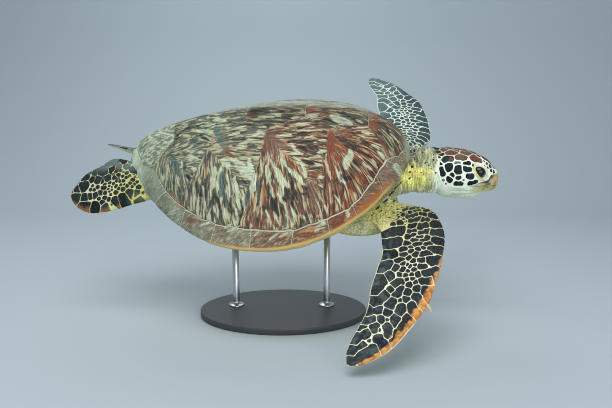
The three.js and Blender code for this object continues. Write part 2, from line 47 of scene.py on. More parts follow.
# ------------------------------------------------------------------ sizes, mm
RAD = math.pi / 180
L = 900.0
POSE = dict(bank=28.41, yaw=-3.35, pitch=3.98, x=-118.5, z=454.5)
SHIFT = np.array([75.0, 15.0, 0.0])
DOME = dict(a=0.9235, b=0.8123, half=350.4, a2=0.5053, b2=0.4817, high=245.7,
            p=1.5091, q=0.7736, tilt=10.5, lift=55, dp=0.4481, dq=-0.0778, o1=0.0151, o2=-0.0756)
SHELL = dict(wall=24, rim=9, lip_in=30, lip_out=66)
BELLY = dict(depth=104, side=0.905, front=0.93, rear=-0.93)


def clamp(x, a, b):
    return np.minimum(b, np.maximum(a, x))


def lerp(a, b, t):
    return a + (b - a) * t


def smooth(a, b, x):
    t = clamp((x - a) / (b - a), 0, 1)
    return t * t * (3 - 2 * t)


def table(xs, ys):
    """Smooth curve through a short table of stations."""
    xs, ys = np.array(xs, float), np.array(ys, float)
    h = np.diff(xs)
    d = np.diff(ys) / h
    m = np.zeros(len(xs))
    m[0], m[-1] = d[0], d[-1]
    for i in range(1, len(xs) - 1):
        if d[i - 1] * d[i] > 0:
            w1, w2 = 2 * h[i] + h[i - 1], h[i] + 2 * h[i - 1]
            m[i] = (w1 + w2) / (w1 / d[i - 1] + w2 / d[i])

    def f(x):
        x = clamp(np.asarray(x, float), xs[0], xs[-1])
        i = clamp(np.searchsorted(xs, x, side="right") - 1, 0, len(xs) - 2).astype(int)
        t = (x - xs[i]) / h[i]
        t2, t3 = t * t, t * t * t
        return ((2 * t3 - 3 * t2 + 1) * ys[i] + (t3 - 2 * t2 + t) * h[i] * m[i]
                + (-2 * t3 + 3 * t2) * ys[i + 1] + (t3 - t2) * h[i] * m[i + 1])
    return f


def bell(s, a, b):
    m = a / (a + b)
    return clamp(s, 0, 1) ** a * clamp(1 - s, 0, 1) ** b / (m ** a * (1 - m) ** b)


flare = table([-1, -0.9, -0.75, -0.55, -0.4, -0.2, 0, 0.25, 0.45, 0.6, 0.72, 0.82, 0.93, 1],
              [0, 1, 5, 10, 10, 3, -3, 0, 5, 9, 11, 5, 8, 0])


def half_width(u):
    return (DOME["half"] * bell((u + 1) / 2, DOME["a"], DOME["b"])
            * (1 + DOME["o1"] * u * (1 - u * u) + DOME["o2"] * (1 - u * u) * (u * u - 0.3)) + flare(u))


def rim_z(u):
    return DOME["tilt"] * u + DOME["lift"] * u * u


def dome_rise(u, v):
    return (DOME["high"] * bell((u + 1) / 2, DOME["a2"], DOME["b2"])
            * clamp(1 - np.abs(v) ** (DOME["p"] + DOME["dp"] * u), 0, 1) ** (DOME["q"] + DOME["dq"] * u))


def rot(axis, deg):
    c, s = math.cos(deg * RAD), math.sin(deg * RAD)
    return np.array({"x": [[1, 0, 0], [0, c, -s], [0, s, c]],
                     "y": [[c, 0, s], [0, 1, 0], [-s, 0, c]],
                     "z": [[c, -s, 0], [s, c, 0], [0, 0, 1]]}[axis])


POSE_R = rot("x", POSE["bank"]) @ rot("z", POSE["yaw"]) @ rot("y", -POSE["pitch"])
POSE_T = np.array([POSE["x"], 0, POSE["z"]]) + SHIFT


def posed(p):
    return np.asarray(p, float) @ POSE_R.T + POSE_T


def unposed(p):
    return (np.asarray(p, float) - POSE_T) @ POSE_R


def unit(v):
    v = np.asarray(v, float)
    return v / np.linalg.norm(v)


class Limb:
    """A blade between a leading and a trailing edge in a plane of its own."""

    def __init__(self, o, T, C, spec):
        self.o, self.t = np.array(o, float), unit(T)
        self.n = unit(np.cross(np.array(C, float), self.t))
        self.c = unit(np.cross(self.t, self.n))
        if self.n[2] < 0:
            self.n = -self.n
        tt = [q[0] for q in spec["lead"]]
        self.lx, self.ly = table(tt, [q[1] for q in spec["lead"]]), table(tt, [q[2] for q in spec["lead"]])
        tt = [q[0] for q in spec["trail"]]
        self.tx, self.ty = table(tt, [q[1] for q in spec["trail"]]), table(tt, [q[2] for q in spec["trail"]])
        self.th = table([q[0] for q in spec["thick"]], [q[1] for q in spec["thick"]])
        self.droop = table([q[0] for q in spec["droop"]], [q[1] for q in spec["droop"]])
        self.rear = spec["rear"]

    def at(self, A, B, N):
        return self.o + np.multiply.outer(A, self.t) + np.multiply.outer(B, self.c) + np.multiply.outer(N, self.n)

    def coords(self, local):
        q = local - self.o
        return q @ self.t, q @ self.c, q @ self.n

    def loft(self, x, c, s, r):
        t = np.arccos(clamp(x, -1, 1)) / math.pi
        w = 0.5 + 0.5 * c
        e = np.minimum(1, np.sqrt(np.maximum(0, 1 - np.maximum(0, (t - 0.955) / 0.045) ** 2)))
        e = np.minimum(e, np.sqrt(t / 0.02))
        f = lerp(0.5, w, e)
        A, B = lerp(self.tx(t), self.lx(t), f), lerp(self.ty(t), self.ly(t), f)
        h = 0.5 * self.th(t) * np.sign(s) * np.abs(s) ** 0.9 * (self.rear + (1 - self.rear) * w ** 0.8) * e
        return self.at(A, B, h + self.droop(t))


FRONT = dict(
    lead=[[0, -90, 20], [0.12, -48, 34], [0.25, -10, 125], [0.38, 62, 151], [0.52, 145, 137], [0.65, 225, 112],
          [0.75, 284, 88], [0.85, 350, 34], [0.93, 415, -30], [1, 462, -124]],
    trail=[[0, -50, -80], [0.12, 5, -62], [0.25, 62, -35], [0.38, 112, -31], [0.52, 180, -49], [0.65, 240, -68],
           [0.75, 292, -77], [0.85, 340, -99], [0.93, 384, -124], [1, 432, -142]],
    thick=[[0, 64], [0.12, 86], [0.25, 63], [0.38, 46], [0.52, 37], [0.65, 30], [0.75, 25], [0.85, 19], [0.93, 14], [1, 8]],
    droop=[[0, -36], [0.12, -16], [0.25, 2], [0.38, -6], [0.5, 0], [0.75, -2], [1, -10]], rear=0.3)
HIND = dict(
    lead=[[0, -50, -5], [0.2, 15, 28], [0.4, 92, 48], [0.6, 165, 70], [0.75, 220, 76], [0.88, 270, 58], [1, 306, 18]],
    trail=[[0, -40, -55], [0.2, 40, -75], [0.4, 110, -98], [0.6, 170, -110], [0.75, 215, -84], [0.88, 258, -60], [1, 294, -12]],
    thick=[[0, 66], [0.2, 56], [0.4, 38], [0.6, 27], [0.75, 20], [0.88, 14], [1, 8]],
    droop=[[0, 0], [0.5, 0], [1, 0]], rear=0.45)


def cs(deg):
    return math.cos(deg * RAD), math.sin(deg * RAD)


cR, sR = cs(17)
cL, sL = cs(-5)
fL, gL = cs(12)
FR = Limb([380, -200, -10], [0, -cR, -sR], [1, 0, 0], FRONT)
FL = Limb([380, 200, -10], [gL, fL * cL, -fL * sL], [fL, -gL * cL, gL * sL], FRONT)
cH, sH = cs(33)
HR = Limb([-330, -80, 20], [-1, 0, 0], [0, -cH, -sH], HIND)
oc, os_ = cs(26)
rc, rs = cs(-1)
HL = Limb([-330, 84, 15], [-oc * rc, os_ * rc, rs], [-0.37, 0.8, -0.478], HIND)

HEAD = dict(tip=606.0, y=-50.0, z=97.4 + POSE["z"] - 87.5, bank=6, len=214.0)
HB = cs(HEAD["bank"])
_hd = [0, 8, 20, 40, 60, 85, 110, 140, 170, 236]
head_top = table(_hd, [12, 21, 33, 55, 66, 77, 84, 88, 90, 88])
head_bot = table([0, 8, 20, 41, 63, 85, 114, 150, 180, 236], [-30, -40, -47, -49, -57, -67, -70, -67, -62, -48])
head_half = table(_hd, [17, 25, 34, 44, 51, 58, 62, 64.5, 63, 52])


def head_at(d, y, z):
    return np.stack([HEAD["tip"] - d + SHIFT[0], HEAD["y"] + y * HB[0] - z * HB[1] + SHIFT[1],
                     HEAD["z"] + y * HB[1] + z * HB[0]], -1)


def head_coords(p):
    q = p - SHIFT
    d, yy, zz = HEAD["tip"] - q[..., 0], q[..., 1] - HEAD["y"], q[..., 2] - HEAD["z"]
    return d, yy * HB[0] + zz * HB[1], -yy * HB[1] + zz * HB[0]


def head_loft(x, c, s, r):
    t = np.arccos(clamp(x, -1, 1)) / math.pi
    d = HEAD["len"] * t ** 1.25
    front = np.sqrt(np.maximum(0, 1 - (1 - np.minimum(1, d / 9)) ** 2))
    back = np.sqrt(np.maximum(0, 1 - (1 - np.minimum(1, (HEAD["len"] - d) / 34)) ** 2))
    k = front * back
    zt, zb = head_top(d), head_bot(d)
    zc, hh, hw = (zt + zb) / 2, (zt - zb) / 2 * k, head_half(d) * k
    cc, sn = np.sign(c) * np.abs(c) ** 0.86, np.sign(s) * np.abs(s) ** 0.92
    return head_at(d, hw * cc * (1 - 0.1 * np.maximum(0, s) * smooth(120, 30, d)), zc + hh * sn)


# ------------------------------------------------------------------ mesh helpers
def loft(along, around, fn):
    """Closed surface with its poles on the x axis of a unit ball."""
    th = np.linspace(0, math.pi, along + 1)[1:-1]
    ph = np.linspace(0, 2 * math.pi, around, endpoint=False)
    TH, PH = np.meshgrid(th, ph, indexing="ij")
    body = fn(np.cos(TH).ravel(), np.cos(PH).ravel(), np.sin(PH).ravel(), np.sin(TH).ravel())
    z2 = np.zeros(2)
    ends = fn(np.array([1.0, -1.0]), z2, z2, z2)
    V = np.concatenate([body, ends])
    n = len(body)
    i, j = np.meshgrid(np.arange(along - 2), np.arange(around), indexing="ij")
    a, b = i * around + j, i * around + (j + 1) % around
    quads = np.stack([a, b, b + around, a + around], -1).reshape(-1, 4)
    j = np.arange(around)
    k = (j + 1) % around
    top = np.stack([np.full(around, n), k, j], -1)
    low = (along - 2) * around
    bot = np.stack([np.full(around, n + 1), low + j, low + k], -1)
    tris = np.concatenate([quads[:, [0, 1, 2]], quads[:, [0, 2, 3]], top, bot])
    p = V[tris]
    if np.einsum("ij,ij->i", p[:, 0], np.cross(p[:, 1], p[:, 2])).sum() < 0:
        tris = tris[:, ::-1]
    return V, tris


def make_object(name, V, faces, smooth_shade=True):
    """faces: (n,3) or (n,4) integer array; V in millimetres, display frame."""
    me = bpy.data.meshes.new(name)
    k = faces.shape[1]
    me.vertices.add(len(V))
    me.vertices.foreach_set("co", (np.asarray(V, np.float32) / 1000).ravel())
    me.loops.add(faces.size)
    me.loops.foreach_set("vertex_index", faces.astype(np.int32).ravel())
    me.polygons.add(len(faces))
    me.polygons.foreach_set("loop_start", np.arange(0, faces.size, k, dtype=np.int32))
    me.update(calc_edges=True)
    me.validate()
    if smooth_shade:
        me.polygons.foreach_set("use_smooth", np.ones(len(me.polygons), bool))
    ob = bpy.data.objects.new(name, me)
    bpy.context.scene.collection.objects.link(ob)
    return ob


def coords(me):
    a = np.empty(len(me.vertices) * 3, np.float32)
    me.vertices.foreach_get("co", a)
    return a.reshape(-1, 3).astype(float) * 1000


def set_coords(me, V):
    me.vertices.foreach_set("co", (np.asarray(V, np.float32) / 1000).ravel())
    me.update()


def edges_of(me):
    a = np.empty(len(me.edges) * 2, np.int32)
    me.edges.foreach_get("vertices", a)
    return a.reshape(-1, 2)


def normals_of(me):
    a = np.empty(len(me.vertices) * 3, np.float32)
    me.vertex_normals.foreach_get("vector", a)
    return a.reshape(-1, 3).astype(float)


def relax(V, E, weight, times, lam=0.5, mu=0.0):
    """Average each vertex with its neighbours; mu < 0 gives the shape its size back."""
    n = len(V)
    cnt = np.bincount(E[:, 0], minlength=n) + np.bincount(E[:, 1], minlength=n)
    cnt = np.maximum(cnt, 1)
    V = V.copy()
    for _ in range(times):
        for k in ((lam, mu) if mu else (lam,)):
            m = np.stack([np.bincount(E[:, 0], V[E[:, 1], a], n) + np.bincount(E[:, 1], V[E[:, 0], a], n)
                          for a in range(3)], -1) / cnt[:, None]
            V += (m - V) * (k * weight)[:, None]
    return V


def attr_f(me, name, val):
    a = me.attributes.new(name, "FLOAT", "POINT")
    a.data.foreach_set("value", np.asarray(val, np.float32))


def attr_v(me, name, val):
    a = me.attributes.new(name, "FLOAT_VECTOR", "POINT")
    a.data.foreach_set("vector", np.asarray(val, np.float32).ravel())


def attr_c(me, name, rgb):
    a = me.attributes.new(name, "FLOAT_COLOR", "POINT")
    c = np.ones((len(rgb), 4), np.float32)
    c[:, :3] = rgb
    a.data.foreach_set("color", c.ravel())


def lin(r, g, b):
    """0-255 screen colour to linear light."""
    c = np.array([r, g, b], float) / 255
    return np.where(c <= 0.04045, c / 12.92, ((c + 0.055) / 1.055) ** 2.4)


def mixc(a, b, t):
    t = np.asarray(t)[..., None]
    return a + (b - a) * t


def hash01(i, k=0):
    x = np.sin(np.asarray(i, float) * 12.9898 + k * 78.233 + 1.7) * 43758.5453
    return x - np.floor(x)


def vnoise(P, seed=0):
    """Smooth value noise in 3-D, about -1 to 1, one cell per unit."""
    P = np.asarray(P, float)
    i = np.floor(P).astype(np.int64)
    f = P - i
    f = f * f * (3 - 2 * f)

    def h(dx, dy, dz):
        n = (i[..., 0] + dx) * 374761393 + (i[..., 1] + dy) * 668265263 + (i[..., 2] + dz) * 2147483647 + seed * 974634777
        n = (n ^ (n >> 13)) * 1274126177
        return ((n ^ (n >> 16)) & 0xFFFF) / 32767.5 - 1
    x0 = lerp(lerp(h(0, 0, 0), h(1, 0, 0), f[..., 0]), lerp(h(0, 1, 0), h(1, 1, 0), f[..., 0]), f[..., 1])
    x1 = lerp(lerp(h(0, 0, 1), h(1, 0, 1), f[..., 0]), lerp(h(0, 1, 1), h(1, 1, 1), f[..., 0]), f[..., 1])
    return lerp(x0, x1, f[..., 2])


def cells(P, S, R, ids, soft=1.1):
    """Power diagram: for each point the owning seed and its distance to the cell's border.
    Seeds that share an id make up one scale."""
    P, S = np.asarray(P, float), np.asarray(S, float)
    R, ids = np.asarray(R, float), np.asarray(ids)
    owner = np.empty(len(P), int)
    dist = np.empty(len(P))
    near = np.empty(len(P))
    D = np.sqrt(((S[:, None] - S[None]) ** 2).sum(-1)) + 1e-6
    same = ids[:, None] == ids[None]
    for a in range(0, len(P), 20000):
        p = P[a:a + 20000]
        d2 = ((p[:, None] - S[None]) ** 2).sum(-1)
        q = d2 - R ** 2
        o = q.argmin(1)
        b = (q - q[np.arange(len(p)), o][:, None]) / (2 * D[o])
        b = np.where(same[o], 1e3, b)
        m = b.min(1)
        dist[a:a + 20000] = m - np.log(np.exp(-(np.minimum(b - m[:, None], 60)) / soft).sum(1)) * soft
        owner[a:a + 20000] = o
        near[a:a + 20000] = np.sqrt(d2[np.arange(len(p)), o])
    return owner, dist, near


# ------------------------------------------------------------------ skin form
def belly_half(u):
    return half_width(u) * BELLY["side"] * lerp(1, 1.04, smooth(0.45, 0.8, u))


def belly_z(u):
    return rim_z(u) - BELLY["depth"] * np.maximum(0, 1 - np.abs(u / 0.985) ** 3.2) ** 0.62


def trunk_loft(x, c, s, r):
    u = x * BELLY["front"]
    w = belly_half(u)
    side = np.sign(c) * np.abs(c) ** 0.72
    mid = rim_z(u) - 2
    up = dome_rise(u, side * w / np.maximum(1, half_width(u))) - SHELL["wall"] * 0.9
    z = np.where(s >= 0, mid + clamp(up, 0, 16) * np.minimum(1, np.abs(s) * 2.6),
                 lerp(mid, belly_z(u), np.abs(s) ** 0.85))
    return posed(np.stack([u * L / 2, side * w, z], -1))


def breast_loft(sign):
    def f(x, c, s, r):
        return posed(np.stack([292 + 118 * x, sign * 158 + 66 * r * c, -44 + 54 * r * s], -1))
    return f


def tail_loft(x, c, s, r):
    t = np.arccos(clamp(x, -1, 1)) / math.pi
    k = lerp(34, 5, t ** 0.8) * np.minimum(1, r * 2.5)
    return posed(np.stack([-350 - 150 * (t - 0.15), c * k, 8 + 16 * t + s * k * 0.85], -1))


def spline(points, t):
    """Centripetal curve through the points, t from 0 to 1."""
    P = np.asarray(points, float)
    P = np.concatenate([[2 * P[0] - P[1]], P, [2 * P[-1] - P[-2]]])
    n = len(points)
    q = clamp(t, 0, 1) * (n - 1)
    i = np.minimum(np.floor(q), n - 2).astype(int)
    w = (q - i)[:, None]
    p0, p1, p2, p3 = P[i], P[i + 1], P[i + 2], P[i + 3]
    d0, d1, d2 = [np.sqrt(np.linalg.norm(b - a, axis=1))[:, None] for a, b in ((p0, p1), (p1, p2), (p2, p3))]
    t1 = ((p1 - p0) / d0 - (p2 - p0) / (d0 + d1) + (p2 - p1) / d1) * d1
    t2 = ((p2 - p1) / d1 - (p3 - p1) / (d1 + d2) + (p3 - p2) / d2) * d1
    return p1 + t1 * w + (3 * (p2 - p1) - 2 * t1 - t2) * w ** 2 + (2 * (p1 - p2) + t1 + t2) * w ** 3


ZF = POSE["z"] - 87.5
NECK_LINE = [posed([310, 0, -28]), posed([390, 0, -4]), posed([450, 0, 2]), posed([492, 0, 15]),
             np.array([436, -50, 113 + ZF]) + SHIFT, np.array([505, -50, 102 + ZF]) + SHIFT]
neck_high = table([0, 0.2, 0.4, 0.6, 0.8, 1], [60, 49, 52, 74, 67, 48])
neck_wide = table([0, 0.2, 0.4, 0.6, 0.8, 1], [104, 92, 76, 69, 58, 38])
neck_bank = table([0, 0.3, 0.6, 0.8, 1], [POSE["bank"], POSE["bank"], 18, 8, 6])


def neck_loft(x, c, s, r):
    t = np.arccos(clamp(x, -1, 1)) / math.pi
    q = spline(NECK_LINE, t)
    k = np.minimum(np.minimum(1, np.sqrt(np.maximum(0, 1 - (np.maximum(0, t - 0.8) / 0.2) ** 2))), np.sqrt(t / 0.06))
    a = neck_bank(t) * RAD
    y, z = c * neck_wide(t) * k, s * neck_high(t) * k
    return q + np.stack([0 * y, y * np.cos(a) - z * np.sin(a), y * np.sin(a) + z * np.cos(a)], -1)


def limb_loft(limb):
    return lambda x, c, s, r: posed(limb.loft(x, c, s, r))


def web_loft(sign):
    def f(x, c, s, r):
        return posed(np.stack([370 + 33 * x, sign * 126 + 50 * r * c, -4 + 28 * r * s], -1))
    return f


def build_skin():
    parts = [loft(260, 320, trunk_loft), loft(60, 60, breast_loft(1)), loft(60, 60, breast_loft(-1)),
             loft(120, 160, neck_loft), loft(160, 180, head_loft), loft(60, 60, tail_loft)]
    parts += [loft(240, 160, limb_loft(k)) for k in (FR, FL, HR, HL)]
    # the fold of skin between the neck and the root of each front flipper
    parts += [loft(50, 60, web_loft(s)) for s in (-1, 1)]
    V, T, n = [], [], 0
    for v, t in parts:
        V.append(v)
        T.append(t + n)
        n += len(v)
    ob = make_object("skin", np.concatenate(V), np.concatenate(T))
    m = ob.modifiers.new("one", "REMESH")
    m.mode, m.voxel_size, m.adaptivity = "VOXEL", 0.0021, 0.0
    dg = bpy.context.evaluated_depsgraph_get()
    me = bpy.data.meshes.new_from_object(ob.evaluated_get(dg))
    ob.modifiers.clear()
    old = ob.data
    ob.data = me
    bpy.data.meshes.remove(old)
    return ob


def rim_distance(q):
    """Plan distance in from the shell's rim, for points of the turtle's own frame."""
    u = clamp(q[:, 0] / (L / 2), -1, 1)
    w = half_width(u)
    return np.minimum(w - np.abs(q[:, 1]), (1 - np.abs(u)) * L / 2 + 0 * w), u


def open_back(ob):
    """Take away the part of the skin that the shell hides, and close it with a coarse lid."""
    import bmesh
    bm = bmesh.new()
    bm.from_mesh(ob.data)
    q = unposed(coords(ob.data))
    dist, u = rim_distance(q)
    gone = (dist > 62) & (q[:, 2] > rim_z(u) - 7)
    bm.verts.ensure_lookup_table()
    bmesh.ops.delete(bm, geom=[bm.verts[i] for i in np.where(gone)[0]], context="VERTS")
    bm.verts.ensure_lookup_table()
    rimE = [e for e in bm.edges if len(e.link_faces) == 1]
    print("lid edges", len(rimE))
    c = posed([[0.0, 0.0, 4.0]])[0] / 1000
    mid = bm.verts.new(c)
    for e in rimE:
        a, b = e.verts
        f = e.link_faces[0]
        vs = list(f.verts)
        i = vs.index(a)
        order = (b, a, mid) if vs[(i + 1) % len(vs)] is b else (a, b, mid)
        try:
            bm.faces.new(order)
        except ValueError:
            pass
    bm.to_mesh(ob.data)
    bm.free()


def refine_head(ob):
    import bmesh
    V = coords(ob.data)
    d, y, z = head_coords(V)
    pick = (d < 216) & (np.abs(y) < 95) & (z > -95) & (z < 110)
    bm = bmesh.new()
    bm.from_mesh(ob.data)
    bm.verts.ensure_lookup_table()
    es = [e for e in bm.edges if pick[e.verts[0].index] and pick[e.verts[1].index]]
    bmesh.ops.subdivide_edges(bm, edges=es, cuts=1, use_grid_fill=True)
    bm.to_mesh(ob.data)
    bm.free()


EYE = dict(r=20.5, d=72.0, z=22.0, y=38.5, a=18.8, b=11.8, tilt=49.0)
mouth_z = table([0, 10, 35, 57, 77, 96, 112], [-26, -25, -23.5, -22.5, -21.5, -20, -17])
beak_z = table([0, 9, 34, 43, 69, 94, 110], [15, 14, 12, -1, -8, -16, -18])


def eye_axes(sign):
    n = unit([-0.16, sign * 1.0, 0.10])
    up = unit(np.array([0, 0, 1]) - n[2] * n)
    fw = np.cross(up, n) * sign
    if fw[0] > 0:
        fw = -fw
    ca, sa = math.cos(EYE["tilt"] * RAD), math.sin(EYE["tilt"] * RAD)
    return n, -fw * ca + up * sa, fw * sa + up * ca


def eye_rho(H, sign):
    """H: head coordinates (n,3) -> height over the eye's centre plane and elliptical radius."""
    n, e1, e2 = eye_axes(sign)
    q = H - np.array([EYE["d"], sign * EYE["y"], EYE["z"]])
    h, p1, p2 = q @ n, q @ e1, q @ e2
    return n, h, p1, p2, np.sqrt((p1 / EYE["a"]) ** 2 + (p2 / EYE["b"]) ** 2)


def sculpt(ob):
    me = ob.data
    V, E = coords(me), edges_of(me)
    V = relax(V, E, np.ones(len(V)), 3, 0.55, -0.57)
    q = unposed(V)
    w = np.zeros(len(V))
    for k in (FR, FL):
        A, B, N = k.coords(q)
        w = np.maximum(w, smooth(120, 30, A) * smooth(-170, -90, A) * smooth(-130, -70, B) * smooth(200, 150, B) * (np.abs(q[:, 1]) > 60))
    for k in (HR, HL):
        A, B, N = k.coords(q)
        w = np.maximum(w, smooth(70, 20, A) * smooth(-110, -60, A) * (np.abs(q[:, 1]) > 20) * (np.abs(N) < 90))
    d, y, z = head_coords(V)
    w = np.maximum(w, smooth(165, 190, d) * smooth(330, 290, d) * (q[:, 0] > 380))
    w = np.maximum(w, smooth(200, 260, q[:, 0]) * (q[:, 0] < 480) * (np.abs(q[:, 1]) < 260) * (d > 190))
    V = relax_part(V, E, w, 90)
    # head
    d, y, z = head_coords(V)
    H = np.stack([d, y, z], -1)
    near = (d < 216) & (np.abs(y) < 95) & (np.abs(z) < 110)
    zc = (head_top(d) + head_bot(d)) / 2
    out = np.stack([0 * d, y, (z - zc)], -1)
    out /= np.maximum(np.linalg.norm(out, axis=1), 1e-6)[:, None]
    tip = smooth(14, 0, d)[:, None]
    out = out * (1 - 0.8 * tip) + np.array([-1.0, 0, 0]) * tip
    out /= np.maximum(np.linalg.norm(out, axis=1), 1e-6)[:, None]
    # mouth line, beak edge, cheek hollow
    g = z - mouth_z(d)
    fade = smooth(112, 96, d) * near
    disp = -3.4 * np.exp(-(g / 1.5) ** 2) * fade
    disp += -1.9 * smooth(0.5, -1.5, g) * smooth(-26, -6, g) * fade * smooth(-3, 6, d + 4)
    bz = z - beak_z(d)
    disp += -0.9 * np.exp(-(bz / 1.6) ** 2) * smooth(104, 90, d) * near
    disp += 0.8 * smooth(-16, -4, bz) * smooth(0, -3, bz) * smooth(100, 70, d) * near
    # nostrils
    for sg in (-1, 1):
        rn = np.sqrt(((d - 5.5) / 1.6) ** 2 + ((y - sg * 7.5) / 2.6) ** 2 + ((z - 15.5) / 2.0) ** 2)
        disp += -3.0 * np.exp(-rn ** 2) * (d < 30)
    H = H + out * disp[:, None]
    rho_all = np.full(len(V), 9.0)
    for sg in (-1, 1):
        n, h, p1, p2, rho = eye_rho(H, sg)
        ok = near & (h > 2) & (rho < 3)
        hs = np.sqrt(np.maximum(EYE["r"] ** 2 - p1 ** 2 - p2 ** 2, 0))
        edge_h = np.sqrt(np.maximum(EYE["r"] ** 2 - (np.minimum(rho, 1.12) / np.maximum(rho, 1e-6)) ** 2 * (p1 ** 2 + p2 ** 2), 0))
        lid = edge_h + 2.6 - 1.1 * np.abs(rho - 1.2) / 0.3
        t = smooth(2.15, 1.22, rho)
        new = h + (np.maximum(lid, h - 4) - h) * t
        fold = 1.0 * np.exp(-((rho - 1.62) / 0.07) ** 2)
        new = new - fold * smooth(0.0, 0.35, p2 / EYE["b"] + 0.2)
        new = np.where(rho < 1.03, np.minimum(h, hs - 2.2), new)
        k = smooth(0.97, 1.06, rho)
        new = lerp(np.minimum(h, hs - 2.2), new, k)
        H = H + n * ((new - h) * ok)[:, None]
        rho_all = np.where(ok, rho, rho_all)
    Vh = head_at(H[:, 0], H[:, 1], H[:, 2])
    V = np.where(near[:, None], Vh, V)
    wl = near * (rho_all > 1.08) * (rho_all < 2.4) * 0.8
    V = relax_part(V, E, wl, 3)
    # neck folds
    me.vertices.foreach_set("co", (V.astype(np.float32) / 1000).ravel())
    me.update()
    Nn = normals_of(me)
    nk = smooth(196, 214, d) * smooth(372, 330, d) * (q[:, 0] > 372) * smooth(150, 110, np.abs(q[:, 1]))
    fold = 1.2 * vnoise(V / [3.6, 30, 24], 3) + 1.1 * vnoise(V / [8.5, 34, 30], 5) + 0.5 * vnoise(V / [2.9, 11, 9], 6)
    fold = np.clip(fold * 1.1, -1.4, 1.4) * nk
    V = V + Nn * (1.5 * fold)[:, None]
    me.vertices.foreach_set("co", (V.astype(np.float32) / 1000).ravel())
    me.update()
    return rho_all, np.clip(fold, -1.4, 1.4)


def relax_part(V, E, w, times, lam=0.5):
    pick = w > 0
    keep = pick[E[:, 0]] | pick[E[:, 1]]
    e = E[keep]
    ids, inv = np.unique(e, return_inverse=True)
    v = relax(V[ids], inv.reshape(-1, 2), w[ids] * pick[ids], times, lam)
    out = V.copy()
    out[ids] = np.where((w[ids] > 0)[:, None], v, V[ids])
    return out


